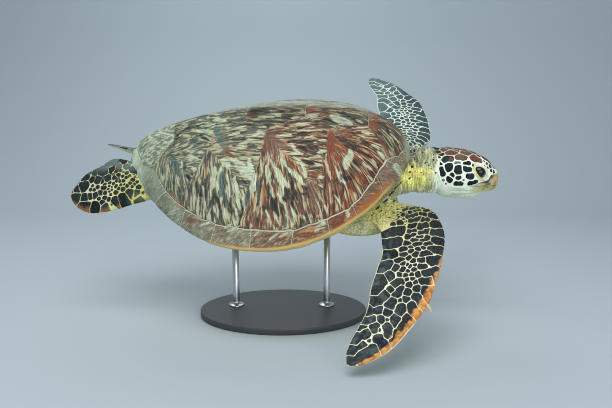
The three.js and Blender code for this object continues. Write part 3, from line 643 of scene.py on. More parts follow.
# flipper scales: along, across, size, scale number
FRONT_SCALES = [
    (-3, 36, 2.6, 0), (-8, 46, 2.6, 0), (-6, 54, 2.9, 1), (-9, 65, 2.9, 1), (-9, 76, 2.9, 2), (-11, 92, 2.9, 2),
    (-1, 96, 2.9, 3), (-4, 105, 2.6, 3), (0, 67, 2.6, 4), (-2, 78, 2.6, 4), (13, 34, 3.1, 5), (5, 54, 3.1, 5), (20, 47, 3.7, 6),
    (18, 60, 4.2, 6), (13, 73, 4, 6), (11, 81, 3.5, 7), (12, 95, 3.3, 7), (32, 54, 3.9, 8), (28, 67, 4.4, 8), (24, 79, 3.9, 8),
    (28, 87, 3.7, 9), (28, 102, 3.3, 9), (13, 110, 4.8, 10), (14, 125, 4.8, 10), (50, 53, 3.9, 11), (47, 64, 4.3, 11),
    (52, 77, 6.1, 12), (44, 96, 6.5, 12), (41, 114, 7.4, 13), (39, 127, 7.4, 13), (64, 50, 3.5, 14), (63, 62, 3.9, 14),
    (69, 78, 4.3, 15), (62, 100, 4.8, 15), (65, 112, 6.9, 16), (63, 134, 7.3, 16), (79, 45, 4.1, 17), (72, 60, 4.3, 17),
    (91, 55, 3, 18), (88, 68, 3, 18), (82, 70, 2.6, 19), (79, 79, 2.6, 19), (93, 80, 3.9, 20), (86, 97, 4.3, 20),
    (92, 114, 6.4, 21), (97, 135, 6.4, 21), (100, 38, 4.7, 22), (99, 44, 5.1, 22), (105, 62, 4.7, 23), (102, 77, 5.1, 23),
    (107, 89, 3.8, 24), (102, 102, 3.4, 24), (113, 48, 3.4, 25), (119, 26, 3.8, 26), (117, 35, 3.8, 26), (127, 48, 5.9, 27),
    (122, 68, 4.2, 28), (116, 83, 2.8, 29), (120, 103, 7.2, 30), (123, 133, 8.1, 30), (138, 26, 4.2, 31), (136, 32, 4.7, 31),
    (140, 58, 4.6, 32), (135, 64, 5.1, 32), (140, 76, 5.5, 33), (135, 92, 5.9, 33), (156, 11, 4.6, 34), (154, 20, 4.6, 34),
    (150, 41, 5.9, 35), (159, 51, 5.9, 36), (159, 71, 4.2, 37), (155, 79, 3.8, 37), (156, 96, 8.8, 38), (157, 130, 10.1, 38),
    (167, 25, 4.2, 39), (170, 35, 1.9, 40), (176, 43, 2.9, 41), (171, 56, 1.9, 42), (175, 69, 4.2, 43), (178, 78, 4.2, 43),
    (182, 25, 3.5, 44), (188, 20, 3.5, 44), (189, 36, 3.3, 45), (185, 52, 5, 46), (201, 62, 5.8, 47), (199, 15, 3.3, 48),
    (202, 28, 4.1, 49), (201, 45, 3.1, 50), (196, 83, 8.3, 51), (195, 116, 9.5, 51), (216, 115, 9.5, 51), (220, 70, 4.9, 52),
    (218, 89, 5.3, 52), (215, 33, 3.7, 53), (213, 46, 3.3, 54), (221, 14, 7.4, 55), (229, 3, 7.8, 55), (224, 54, 3.1, 56),
    (229, 38, 6.6, 57), (241, 56, 7.3, 58), (247, 77, 7.7, 59), (247, 97, 9, 59), (272, 86, 8.1, 59), (241, 12, 7.4, 60),
    (259, 1, 8.5, 60), (251, 31, 7.3, 61), (266, 53, 8.9, 62), (286, 65, 9.2, 62), (274, 25, 5.7, 63), (277, 9, 3.2, 64),
    (62, -18, 10.9, 65), (59, 1, 11.3, 65), (58, 23, 10, 65), (95, -26, 9.1, 66), (96, -5, 9.1, 66), (95, 16, 8.6, 66),
    (177, 4, 8, 67), (202, -14, 9.6, 68), (243, -12, 4.5, 69), (38, 22, 4.8, 70), (41, 4, 3.5, 71), (134, -25, 11.8, 72),
    (135, -1, 11.8, 72), (174, -35, 13.1, 73), (166, -15, 11.6, 73), (213, -39, 14.4, 74), (238, -50, 14.3, 74),
    (259, -29, 10.4, 75), (277, -51, 9.5, 75), (303, -74, 8.9, 76), (302, -44, 8.8, 76), (331, -88, 8, 77), (329, -64, 8, 77),
    (346, -97, 4.5, 78), (344, -90, 4.5, 78), (376, -108, 11.8, 79), (366, -81, 12.5, 79), (410, -115, 7.3, 80),
    (396, -90, 7.3, 80), (433, -119, 5.8, 81), (424, -100, 8.5, 81), (413, -81, 11.4, 81), (406, -65, 12.4, 81),
    (378, -53, 12, 82), (396, -39, 13, 82), (345, -58, 10.3, 83), (356, -61, 9.2, 83), (328, -41, 10.1, 84),
    (308, -24, 11.7, 85), (278, -8, 10.8, 86), (291, -17, 10.5, 86), (348, -27, 10.8, 87), (367, -23, 8.1, 87),
    (324, -6, 10.9, 88), (336, -8, 9.2, 88), (294, 12, 10.7, 89), (308, 6, 9.6, 89), (330, 29, 14.3, 90), (350, 14, 13.7, 90),
    (370, -1, 12, 90), (386, -13, 7.3, 90), (294, 40, 12.3, 91), (312, 47, 13.8, 91), (328, -26, 1.7, 92), (356, -48, 1.6, 93),
    (373, -63, 1.6, 94), (383, -74, 1.7, 95),
]
HIND_SCALES = [
    (137, -101, 8.9), (181, -96, 14.5), (116, -97, 6.7), (125, -78, 8.4), (155, -80, 7.9), (104, -65, 8.6), (172, -73, 8.8),
    (205, -65, 14.4), (232, -63, 8.8), (142, -64, 4.5), (248, -63, 5.6), (157, -61, 4.7), (132, -58, 2.6), (121, -54, 4.2),
    (262, -45, 13.7), (149, -48, 5.4), (133, -43, 3.8), (290, -34, 8.5), (110, -44, 3.0), (158, -39, 6.3), (235, -35, 7.9),
    (216, -33, 11.9), (120, -38, 4.3), (184, -35, 8.5), (96, -27, 5.3), (199, -28, 5.9), (81, -20, 3.8), (128, -26, 4.3),
    (140, -26, 3.8), (151, -26, 3.7), (261, -16, 16.1), (284, -4, 11.0), (173, -21, 4.1), (103, -17, 4.6), (189, -18, 3.9),
    (161, -17, 4.2), (88, -13, 3.7), (135, -13, 3.4), (123, -14, 2.6), (150, -9, 4.4), (113, -9, 4.6), (231, -14, 3.6),
    (173, -11, 3.2), (190, -5, 7.8), (212, -9, 4.7), (164, -8, 2.3), (73, -2, 5.8), (95, -5, 3.5), (297, 1, 4.7),
    (140, -1, 4.5), (126, 1, 5.7), (235, -1, 4.5), (175, 0, 3.1), (223, 0, 3.8), (162, 2, 2.8), (102, 14, 10.2),
    (76, 17, 8.2), (200, 11, 6.6), (184, 11, 5.4), (148, 12, 5.5), (170, 9, 2.8), (56, 18, 4.9), (216, 18, 9.0),
    (285, 24, 15.3), (123, 31, 13.3), (233, 22, 7.5), (250, 27, 10.2), (165, 19, 3.3), (183, 29, 5.4), (149, 39, 11.5),
    (169, 34, 5.1), (66, 36, 9.0), (202, 32, 4.5), (191, 44, 6.7), (209, 54, 10.6), (179, 59, 10.5), (249, 52, 13.1),
    (159, 51, 2.6),
]
# long marks on the plates: kind, from (x, arc), to (x, arc), half width
MARKS = [
    ("r", 211, 98, 209, 172, 11.2), ("r", 217, 142, 259, 153, 10.5), ("r", 212, 171, 245, 181, 8), ("r", 203, 175, 222, 229, 6),
    ("c", 195, 179, 211, 245, 2.8), ("r", 189, 189, 203, 252, 4), ("r", 206, 187, 225, 249, 3.5),
    ("o", 212, 174, 231, 198, 2.1), ("c", 223, 200, 236, 247, 2.6), ("c", 231, 219, 255, 251, 2.6),
    ("k", 239, 191, 250, 224, 4.2), ("k", 228, 237, 236, 258, 3.9), ("k", 239, 226, 255, 243, 4.3),
    ("k", 214, 245, 227, 293, 4.1), ("r", 216, 261, 224, 299, 2.4), ("r", 227, 257, 249, 300, 3.2),
    ("k", 241, 246, 243, 282, 2.9), ("c", 239, 243, 260, 255, 2.4), ("k", 255, 231, 269, 233, 4.8),
    ("r", 258, 250, 279, 273, 9.4), ("o", 263, 263, 279, 298, 4), ("c", 274, 269, 279, 281, 3.7),
    ("o", 280, 225, 297, 242, 2.5), ("c", 283, 249, 296, 268, 2.1), ("c", 219, 286, 242, 318, 2.6),
    ("r", 202, 303, 215, 328, 2.8), ("c", 196, 317, 201, 341, 3), ("r", 241, 290, 262, 314, 5), ("k", 223, 114, 262, 118, 4.4),
    ("k", 237, 122, 293, 129, 5.1), ("o", 220, 138, 251, 149, 2.3), ("k", 251, 136, 307, 143, 4.3),
    ("k", 293, 144, 327, 150, 4.2), ("o", 302, 136, 316, 140, 3.4), ("r", 237, 105, 271, 98, 3.3),
    ("o", 271, 102, 299, 104, 2.5), ("k", 297, 102, 316, 118, 6.9), ("c", 328, 113, 345, 114, 5.3),
    ("r", 270, 160, 306, 179, 6.1), ("c", 265, 146, 273, 162, 5.7), ("c", 256, 172, 253, 203, 9.3),
    ("c", 265, 152, 267, 176, 5.8), ("k", 276, 177, 292, 181, 7.4), ("k", 269, 196, 281, 204, 6.3),
    ("c", 275, 189, 292, 201, 2.6), ("c", 301, 172, 309, 181, 4.2), ("c", 327, 156, 341, 170, 4.9),
    ("c", 312, 177, 326, 185, 4.3), ("r", 332, 177, 349, 197, 7.6), ("r", 292, 215, 314, 230, 7.5),
    ("c", 314, 207, 331, 217, 3.9), ("m", 264, 206, 286, 217, 6.5), ("k", 328, 119, 351, 120, 3.4),
    ("c", 345, 126, 362, 131, 6.8), ("m", 237, 87, 271, 81, 5.3), ("k", 254, 92, 288, 83, 2.7), ("c", 300, 76, 323, 71, 5.7),
    ("r", 327, 26, 335, 55, 12), ("r", 339, 20, 348, 37, 11.8), ("k", 351, 23, 372, 27, 12.7), ("k", 341, 56, 356, 59, 6.8),
    ("k", 371, 39, 407, 39, 4.8), ("r", 346, 75, 375, 105, 3.7), ("c", 364, 58, 390, 88, 4.3), ("k", 359, 58, 387, 81, 3.5),
    ("c", 383, 42, 407, 49, 3.8), ("k", 394, 57, 406, 56, 4.9), ("r", 366, 105, 383, 114, 6.3), ("r", 393, 86, 412, 87, 6.4),
    ("c", 378, 97, 390, 109, 3.5), ("m", 29, 88, 27, 157, 10.4), ("m", 42, 111, 50, 165, 11.5), ("m", 55, 136, 87, 154, 8.6),
    ("m", 44, 152, 62, 175, 8.6), ("o", 16, 112, 15, 149, 2.9), ("r", 53, 101, 73, 84, 5.3), ("o", 74, 167, 91, 180, 4.4),
    ("o", 80, 176, 126, 217, 2.7), ("k", 77, 95, 122, 81, 3.8), ("k", 117, 89, 174, 72, 3.7), ("o", 58, 79, 72, 76, 3.9),
    ("c", 66, 113, 100, 107, 3.3), ("k", 106, 111, 151, 103, 5.8), ("r", 152, 107, 180, 105, 3.5),
    ("k", 183, 101, 197, 100, 5.1), ("d", 75, 124, 112, 118, 3.2), ("c", 135, 121, 158, 113, 3.1), ("k", 90, 134, 158, 134, 6),
    ("o", 75, 130, 90, 141, 2.5), ("k", 124, 151, 142, 164, 6.7), ("k", 147, 151, 161, 157, 3.8),
    ("d", 164, 147, 175, 159, 3.3), ("c", 101, 141, 113, 161, 5.3), ("c", 113, 161, 125, 171, 3.6),
    ("c", 96, 174, 133, 174, 3.9), ("k", 119, 180, 131, 180, 2.8), ("o", 119, 189, 139, 186, 2.3), ("c", 108, 186, 134, 196, 3),
    ("k", 134, 196, 159, 201, 5.5), ("k", 145, 180, 170, 175, 2.7), ("c", 150, 186, 186, 180, 2.5),
    ("c", 175, 169, 198, 160, 3.8), ("c", 175, 130, 197, 128, 3), ("d", 163, 120, 197, 118, 2.7),
    ("d", 169, 144, 197, 141, 2.9), ("c", 153, 210, 186, 204, 3), ("k", 151, 216, 181, 214, 3), ("r", 142, 225, 176, 232, 4.8),
    ("c", 176, 244, 189, 239, 4.3), ("c", 131, 205, 142, 240, 5.7), ("r", 94, 195, 129, 240, 3.5),
    ("m", 83, 201, 103, 214, 2.9), ("c", 74, 192, 86, 214, 5.1), ("c", 89, 217, 112, 244, 4.5), ("c", 109, 229, 132, 261, 5.7),
    ("c", 126, 261, 148, 268, 2.9), ("c", 43, 190, 61, 236, 3.7), ("c", 58, 221, 79, 269, 8.4), ("c", 68, 266, 76, 315, 7),
    ("c", 78, 252, 93, 269, 5.7), ("c", 79, 309, 90, 348, 3.4), ("c", 93, 353, 108, 386, 4.1), ("c", 29, 207, 42, 262, 5.6),
    ("c", 42, 262, 51, 297, 3.7), ("c", 14, 187, 18, 224, 3.2), ("c", 32, 335, 40, 352, 3.2), ("c", 54, 341, 68, 375, 2.5),
    ("c", 98, 326, 109, 359, 2.5), ("k", 37, 267, 40, 302, 4.4), ("k", 44, 221, 59, 269, 2.3), ("r", 53, 262, 59, 297, 2.7),
    ("r", 31, 264, 29, 321, 3.7), ("k", 90, 278, 98, 306, 4.3), ("k", 101, 255, 107, 309, 3.6), ("k", 109, 281, 118, 309, 3.2),
    ("k", 134, 269, 142, 277, 5), ("k", 131, 289, 140, 294, 4), ("k", 49, 302, 65, 353, 4.5), ("k", 79, 304, 87, 315, 4.4),
    ("k", 101, 315, 117, 348, 3.5), ("k", 76, 331, 84, 381, 4.9), ("r", 43, 341, 57, 380, 4.3), ("m", 87, 323, 104, 370, 3.9),
    ("m", 120, 323, 136, 350, 6), ("m", 142, 257, 175, 306, 7.1), ("m", 153, 307, 174, 344, 8.5),
    ("m", 159, 245, 175, 255, 4.6), ("c", 128, 350, 142, 360, 2.3), ("k", 128, 361, 144, 380, 4.5),
    ("k", -94, 56, -58, 51, 4.1), ("k", -57, 55, 10, 68, 5), ("c", -80, 74, -38, 69, 3.5), ("k", -92, 79, -55, 78, 3.7),
    ("k", -60, 91, -6, 92, 5.1), ("c", -91, 90, -54, 89, 3.4), ("k", -77, 106, -34, 113, 5.1), ("k", -23, 111, 19, 116, 3.4),
    ("c", -35, 106, 1, 103, 2.9), ("c", -51, 124, -4, 124, 3), ("k", -95, 113, -57, 123, 3.2), ("k", -27, 134, -2, 147, 6.1),
    ("c", -63, 135, -33, 137, 3.2), ("k", -62, 146, -2, 157, 2.5), ("o", -75, 134, -68, 144, 2.5), ("o", -37, 159, -13, 172, 3),
    ("g", -109, 61, -92, 140, 10.3), ("b", -131, 56, -106, 121, 8.6), ("r", -92, 147, -66, 171, 4.2),
    ("c", -102, 170, -83, 193, 9.6), ("c", -63, 177, -40, 218, 9.1), ("c", -78, 168, -56, 188, 3.3),
    ("p", -47, 195, -16, 233, 8.2), ("p", -21, 183, -3, 275, 8.5), ("c", -123, 191, -125, 257, 7.6),
    ("c", -107, 194, -110, 260, 4.3), ("b", -100, 208, -97, 280, 7.3), ("b", -78, 236, -70, 296, 5.8),
    ("c", -84, 220, -73, 284, 2.6), ("k", -122, 257, -118, 299, 5.5), ("c", -57, 245, -45, 327, 4.6),
    ("k", -39, 242, -27, 255, 3.2), ("b", -23, 273, -23, 319, 5.8), ("c", -13, 251, -8, 303, 4.2), ("o", -8, 298, 0, 326, 3.2),
    ("b", 10, 241, 12, 322, 4.1), ("o", 22, 263, 23, 323, 3.7), ("k", -70, 296, -66, 336, 4.6), ("k", -112, 283, -96, 325, 4.5),
    ("c", -87, 316, -81, 345, 3.4), ("c", -121, 304, -114, 328, 3), ("c", -57, 320, -51, 343, 2.5),
    ("c", -35, 289, -31, 335, 3), ("m", -17, 322, 3, 382, 7.9), ("k", -152, 221, -149, 281, 6.4),
    ("c", -157, 238, -152, 320, 3.2), ("c", -132, 243, -131, 285, 3.1), ("o", -148, 186, -149, 216, 3.2),
    ("k", -141, 200, -136, 225, 3), ("k", -177, 224, -159, 267, 6.4), ("b", -268, 117, -236, 182, 8.7),
    ("k", -225, 145, -220, 172, 4.5), ("c", -233, 136, -231, 162, 3.3), ("c", -228, 106, -208, 115, 3.5),
    ("c", -213, 127, -179, 146, 2.8), ("k", -216, 188, -202, 202, 5.2), ("c", -197, 173, -183, 183, 4.9),
    ("c", -282, 134, -277, 158, 3.4), ("c", -303, 159, -294, 175, 3), ("m", -263, 224, -248, 247, 3.9),
    ("r", -240, 258, -226, 278, 3.3), ("r", -278, 212, -255, 238, 2.7), ("k", -255, 47, -265, 77, 8.1),
    ("k", -190, -6, -166, -10, 21.5), ("k", -230, 30, -184, 36, 3.8), ("k", -118, 10, -74, 10, 4.9),
    ("c", -141, 22, -103, 31, 4.4), ("c", -194, 55, -155, 65, 5.5), ("c", -167, 40, -136, 40, 4),
    ("b", -211, 78, -183, 106, 6.1), ("k", -180, 73, -152, 94, 4.4), ("o", -142, 96, -134, 122, 3.2),
    ("c", -321, 13, -283, 36, 3), ("k", -310, 14, -255, 43, 3.1), ("k", -303, 48, -281, 54, 2.7), ("k", -41, -51, 33, -9, 20.8),
    ("k", -26, 7, 23, 13, 10.3), ("c", -2, 34, 43, 38, 5.2), ("c", 48, 25, 64, 35, 7.2), ("k", 48, 15, 72, 17, 4.8),
    ("r", -37, 16, -17, 32, 4.4), ("d", 64, -7, 118, -5, 6.8), ("o", 88, -5, 117, -12, 5.8), ("k", 73, 40, 97, 41, 5.2),
    ("c", 97, 45, 114, 41, 4.2), ("k", 90, 17, 119, 13, 4.6), ("k", -53, 39, 9, 56, 4.6), ("k", 9, 56, 92, 57, 4.1),
    ("d", 78, 69, 121, 49, 4), ("r", 139, 7, 166, 16, 10.2), ("r", 166, 16, 208, 31, 5.1), ("k", 165, -15, 207, -7, 7),
    ("m", 153, -22, 177, -17, 10.8), ("c", 138, 36, 167, 35, 8.1), ("o", 202, 17, 216, 15, 4.1), ("k", 225, 8, 266, 24, 4.5),
    ("p", 214, 35, 266, 51, 14), ("k", 191, 46, 231, 62, 3.7), ("k", 133, 58, 174, 60, 4.1), ("d", 168, 60, 196, 50, 4),
    ("k", 240, 68, 283, 59, 3.1), ("k", 272, 32, 312, 45, 5.5), ("c", 284, 33, 301, 37, 3.7), ("r", 365, 150, 352, 177, 7.8),
    ("r", 367, 168, 376, 180, 12.9), ("m", 361, 201, 379, 197, 8.5), ("p", 402, 123, 411, 145, 14),
    ("m", 308, 250, 328, 233, 6.6), ("m", 302, 280, 325, 260, 8.8), ("r", 284, 302, 307, 302, 7.9),
    ("r", 215, 351, 248, 331, 10.5), ("r", 211, 373, 247, 354, 9), ("c", 256, 324, 259, 340, 4.6),
    ("o", 247, 354, 267, 335, 1.9), ("c", 250, 362, 269, 341, 1.4), ("o", 124, 397, 168, 384, 4.9),
    ("r", 113, 408, 157, 401, 6.7), ("c", 177, 366, 193, 364, 4.2), ("c", 168, 384, 195, 370, 2.4),
    ("c", 162, 395, 190, 382, 2.4), ("m", 109, 381, 141, 385, 6.1), ("m", 20, 406, 53, 404, 6.2), ("c", -3, 404, 9, 394, 2.6),
    ("c", 42, 418, 64, 402, 2.5), ("c", 69, 413, 92, 400, 2.7), ("r", 59, 421, 89, 414, 4), ("m", -117, 361, -84, 383, 9.5),
    ("c", -90, 372, -66, 364, 2.9), ("c", -78, 384, -42, 372, 2.6), ("m", -298, 228, -263, 259, 8.6),
    ("r", -248, 271, -212, 288, 3.7), ("c", -278, 277, -241, 282, 2.7), ("c", -289, 283, -248, 291, 2.4),
    ("m", -219, 315, -178, 337, 7.5), ("r", -198, 321, -164, 340, 2.7), ("c", -165, 352, -126, 348, 2.9),
]

# head: back from the snout tip, out from the midline, up, size, colour kind, scale number
HEAD_SCALES = [
    (152, 33, 81, 11, "r", 0), (166, 36, 79, 11, "r", 0), (73, 36, 57, 12, "r", 1), (90, 38, 65, 12, "r", 1),
    (126, 46, 68, 10.5, "r", 2), (141, 46, 69, 10.5, "r", 2), (167, 50, 66, 12, "m", 3), (182, 49, 60, 10.5, "m", 3),
    (149, 57, 52, 4.5, "g", 4), (140, 56, 53, 3.8, "g", 4), (110, 54, 50, 7, "k", 5), (121, 56, 50, 7, "k", 5),
    (171, 60, 42, 13.5, "k", 6), (143, 62, 38, 11.5, "k", 7), (143, 62, 29, 11, "k", 7), (110, 59, 34, 8.6, "k", 8),
    (122, 60, 39, 8.2, "k", 8), (191, 56, 35, 8, "k", 9), (188, 57, 20, 7.5, "k", 9), (160, 64, 17, 6, "k", 10),
    (141, 64, 9, 6.6, "k", 11), (101, 61, 12, 8, "k", 12), (109, 62, 14, 7.6, "k", 12), (168, 63, 3, 9, "k", 13),
    (132, 63, -10, 6.4, "k", 14), (146, 63, -10, 6.4, "k", 14), (84, 57, -5, 4.6, "k", 15), (103, 60, -10, 6.6, "k", 15),
    (192, 51, 49, 5.5, "k", 16), (195, 39, 64, 4.5, "k", 17), (200, 42, 54, 4.5, "k", 18), (190, 36, 74, 5, "k", 19),
    (185, 60, 0, 2.6, "g", 20), (177, 60, -11, 1.8, "g", 21), (125, 64, 1, 2.2, "g", 22), (57, 31, 53, 4.4, "n", 23),
    (49, 32, 46, 4.6, "n", 37), (57, 41, 41, 3.2, "n", 38), (46, 38, 36, 3.2, "n", 39), (37, 30, 37, 5.4, "n", 24), (33, 35, 25, 4.2, "k", 25),
    (23, 29, 19, 4.2, "k", 40), (96, 53, 46, 3.0, "k", 41), (73, 44, 45, 2.2, "k", 42), (64, 42, 44, 2.2, "k", 42), (152, 53, -37, 1.7, "g", 43), (156, 48, -44, 1.5, "g", 44), (52, 12, 62, 13, "d", 26), (36, 11, 50, 10, "d", 26),
    (18, 8, 33, 7, "d", 27), (88, 0, 78, 15, "d", 28), (118, 0, 84, 17, "r", 29), (134, 0, 87, 15, "r", 29),
    (106, 24, 78, 10, "d", 30), (120, 29, 80, 9, "d", 30), (160, 0, 89, 13, "d", 31), (180, 18, 85, 10, "d", 32),
    (142, 20, 86, 8, "r", 33), (200, 8, 86, 7, "k", 34), (196, 26, 80, 6, "k", 35), (68, 20, 68, 7, "d", 36),
]
SHOULDER_SPOTS = [(326, 199, -5, 5.5, 1.9), (343, 174, 3, 9.5, 3.2), (369, 142, 6, 9, 3.2), (386, 124, 18, 9, 2.9), (401, 98, 20, 14, 1.7),
                  (418, 77, 24, 6, 1.6), (391, 158, 13, 3.6, 3), (454, 32, 49, 4.5, 3.6), (446, 48, 41, 4.5, 2.4), (444, 65, 29, 5, 2.6),
                  (364, 201, 5, 2.6, 2), (381, 187, 14, 2.6, 2), (352, 196, 6, 3, 1.6)]
DARK, RED, DUSK = lin(10, 20, 24), lin(108, 62, 52), lin(76, 62, 60)
GREY, ORANGE = lin(92, 100, 96), lin(210, 152, 84)
lead_b = table([q[1] for q in FRONT["lead"]], [q[2] for q in FRONT["lead"]])
trail_b = table([q[1] for q in FRONT["trail"]], [q[2] for q in FRONT["trail"]])
hlead_b = table([q[1] for q in HIND["lead"]], [q[2] for q in HIND["lead"]])
htrail_b = table([q[1] for q in HIND["trail"]], [q[2] for q in HIND["trail"]])


def skin_pattern(V, rho, fold, Nw):
    """Ground colour, scale colour, distance into the scale (mm) and how grainy, for each vertex."""
    n = len(V)
    q = unposed(V)
    Nl = Nw @ POSE_R
    d, hy, hz = head_coords(V)
    big = vnoise(V / 55, 1)
    mid = vnoise(V / 17, 2)
    fine = vnoise(V / 6, 3)
    base = np.tile(lin(221, 210, 152), (n, 1))
    scale = np.tile(DARK, (n, 1))
    edge = np.full(n, -6.0)
    grain = 1 - 0.55 * smooth(280, 240, q[:, 0])
    base = mixc(base, lin(205, 190, 118), clamp(0.5 + 0.6 * big, 0, 1) * 0.6)
    # neck: yellow sides, pale throat, greyer top
    nk = smooth(184, 206, d) * smooth(330, 380, q[:, 0])
    side = mixc(lin(246, 246, 156), lin(226, 224, 126), clamp(0.5 + 0.7 * mid, 0, 1))
    nc = mixc(side, lin(232, 236, 206), smooth(-14, -44, hz + 6 * mid))
    nc = mixc(nc, lin(212, 208, 160), smooth(252, 222, d + 8 * mid) * 0.75)
    nc = mixc(nc, lin(176, 182, 152), smooth(26, 56, hz + 5 * mid))
    nc = mixc(nc, lin(158, 164, 138), smooth(300, 335, d + 6 * mid) * 0.8)
    # folds: crests painted brighter and valleys painted darker olive, following the fold displacement: painted
    # highlight and painted shade
    nc = nc * (1 + 0.12 * fold)[:, None]
    nc = mixc(nc, lin(116, 112, 66), clamp(-fold, 0, 1) * 0.4 * smooth(-60, -30, hz))
    base = mixc(base, nc, nk)
    sh = smooth(230, 300, q[:, 0]) * (1 - nk * smooth(300, 240, d)) * smooth(60, 130, np.abs(q[:, 1]))
    shc = mixc(lin(186, 190, 140), lin(142, 146, 102), clamp(0.5 + 0.5 * mid + 0.5 * fine, 0, 1))
    base = mixc(base, mixc(shc, lin(230, 228, 192), smooth(-12, -50, q[:, 2] + 10 * mid)), sh * 0.95)
    # limbs
    for limb, tab, hind, far in ((FR, FRONT_SCALES, False, 0), (FL, FRONT_SCALES, False, 1),
                                 (HR, HIND_SCALES, True, 0), (HL, HIND_SCALES, True, 0)):
        A, B, N = limb.coords(q)
        side_ok = (q[:, 1] < -60 if limb is FR else q[:, 1] > 60) if not hind else (q[:, 1] < 20 if limb is HR else q[:, 1] > -20)
        lb, tb = (hlead_b(A), htrail_b(A)) if hind else (lead_b(A), trail_b(A))
        a0 = 55 if hind else -30
        zone = side_ok & (A > a0 - 25) & (np.abs(N) < (60 if hind else 75)) & (B < lb + 30) & (B > tb - 40) & ((d > 190) | (np.abs(hy) > 110))
        zone &= (q[:, 0] < -330) if hind else (q[:, 0] > 180)
        i = np.where(zone)[0]
        if not len(i):
            continue
        a, b, nn = A[i], B[i], N[i]
        S = np.array([t[:2] for t in tab], float)
        R = np.array([t[2] for t in tab], float) * (1.14 if hind else 1.06)
        wob = np.stack([vnoise(V[i] / 11, 21), vnoise(V[i] / 11, 22)], -1) * 1.3
        ids = np.arange(len(S)) + 100 if hind else np.array([t[3] for t in tab])
        own, e, near = cells(np.stack([a, b], -1) + wob, S, R, ids, 0.9)
        e = e - np.where(R[own] > 9, 1.0, 0.95 if hind else 0.95)
        small = R[own] < 9
        loose = 1.5 if hind else lerp(1.7, 2.4, smooth(20, 70, a))
        e = np.where(small, np.minimum(e, R[own] * loose + (0 if hind else 1.5) - near), np.minimum(e, R[own] * lerp(1.5, 2.6, smooth(20, 90, a)) - near))
        if not hind:
            e = np.minimum(e, np.minimum(lb[i] - b, b - tb[i]) * smooth(60, 110, a) + 9 * smooth(110, 60, a) - 3.2)
            e = np.where((R[own] > 9) & (b < 42), np.minimum(e, (a - 49 + 0.3 * b + 4 * mid[i]) * 0.8), e)
        if not hind:
            # small scales fill in towards the shoulder
            gx, gy = a / 8.6 + 0.3 * mid[i], b / 12.5 + 0.3 * fine[i]
            gb = np.floor(gy)
            ga = np.floor(gx + 0.5 * (gb % 2))
            d1 = np.full(len(i), 99.0)
            d2 = d1.copy()
            hid = np.zeros(len(i))
            for oa in (-1, 0, 1):
                for ob in (-1, 0, 1):
                    ca, cb = np.floor(gx + 0.5 * ((gb + ob) % 2)) + oa, gb + ob
                    hv = ca * 57 + cb * 113 + 5000
                    pa, pb = ca - 0.5 * (cb % 2) + 0.2 + 0.6 * hash01(hv, 91), cb + 0.2 + 0.6 * hash01(hv, 92)
                    dd = np.hypot((gx - pa) * 8.6, (gy - pb) * 8.6)
                    new = dd < d1
                    d2 = np.where(new, d1, np.minimum(d2, dd))
                    hid = np.where(new, hv, hid)
                    d1 = np.where(new, dd, d1)
            dens = smooth(78, 58, a) * smooth(-46, -8, a + 0.30 * (b - 60)) * smooth(-30, 10, b)
            e2 = np.minimum((d2 - d1) * 0.5 - 0.9, 3.6 - d1 * 0.55) - 3.5 * (1 - dens) - 2.0 * (hash01(hid, 93) > 0.8)
            e = np.where(e > -0.9, e, np.maximum(e, np.minimum(e2, -e - 0.9 - 1.2)))
        e = e - smooth(a0 + 12, a0 - 22, a) * (9 if hind else 0) - 0.7 * far
        if hind:
            tt = clamp((-350 - q[i, 0]) / 150 + 0.15, 0, 1)
            off = np.hypot(q[i, 1], (q[i, 2] - 8 - 16 * tt) / 0.85) - lerp(34, 5, tt ** 0.8) - 2
            e = e - 12 * smooth(6, 0, off + 2 * mid[i])
            soft = smooth(120, 70, a) * smooth(6, 30, b)
            e = e - 2.2 * soft
        # tables end at the limb's rim: a thin pale rim shows there
        under = smooth(-0.25, -0.60, Nl[i] @ limb.n + 0.08 * mid[i])
        key = ids[own] + (200 if hind else 0)
        c = mixc(DARK, lin(40, 50, 58), hash01(key, 1) * 0.8)
        c = mixc(c, lin(52, 50, 44), hash01(key, 2) * 0.4)
        if hind:
            c = mixc(c, lin(96, 116, 116), smooth(-50, -85, b + 8 * mid[i]) * (hash01(key, 5) > 0.25) * 0.8)
            orange = smooth(0.70, 1.02, (b - 8) / np.maximum(lb[i] - 8, 8) + 0.12 * mid[i]) * smooth(105, 130, a) * (hash01(key, 6) > 0.3)
            c = mixc(c, lin(164, 118, 70), orange * 0.62)
        else:
            rim = lb[i] - b
            wide = lerp(6, 25, smooth(150, 320, a)) * (0.7 + 0.6 * hash01(key, 8))
            orange = smooth(6, -3, rim - wide + 6 * mid[i] + 5 * fine[i]) * smooth(95, 165, a + 22 * mid[i]) * (1 - far)
            c = mixc(c, lin(96, 112, 112), clamp(0.15 + 0.8 * vnoise(V[i] / [9, 9, 9], 57), 0, 1) * smooth(25, -25, b) * 0.55)
            c = mixc(c, mixc(ORANGE, lin(172, 108, 58), clamp(0.5 + fine[i], 0, 1)), orange * 0.92)
        # the far front flipper's scales are painted paler and bluer: painted haze and sheen, not their own colour
        c = mixc(c, mixc(lin(66, 88, 90), lin(100, 128, 128), smooth(40, -40, b + 20 * mid[i])), far * 0.6)
        g = mixc(lin(218, 214, 160), lin(234, 234, 204), smooth(50, 170, a))
        if hind:
            g = mixc(lin(196, 198, 126), lin(202, 206, 160), smooth(110, 200, a))
            g = mixc(g, lin(206, 208, 136), smooth(20, 60, b) * smooth(190, 120, a))
        else:
            g = mixc(g, lin(190, 188, 122), smooth(62, 0, a))
        # the far flipper's skin is painted paler as well: painted haze and sheen
        g = mixc(g, lin(220, 236, 226), far * 0.85)
        ub = mixc(lin(226, 216, 164), lin(232, 224, 186), clamp(0.5 + 0.5 * big[i], 0, 1))
        uc = mixc(ub, lin(112, 104, 92), (0.18 + 0.5 * smooth(0.55, 1.0, a / (306 if hind else 462)))[:])
        if hind:
            c = mixc(c, lin(120, 134, 92), soft * (0.42 + 0.3 * mid[i]))
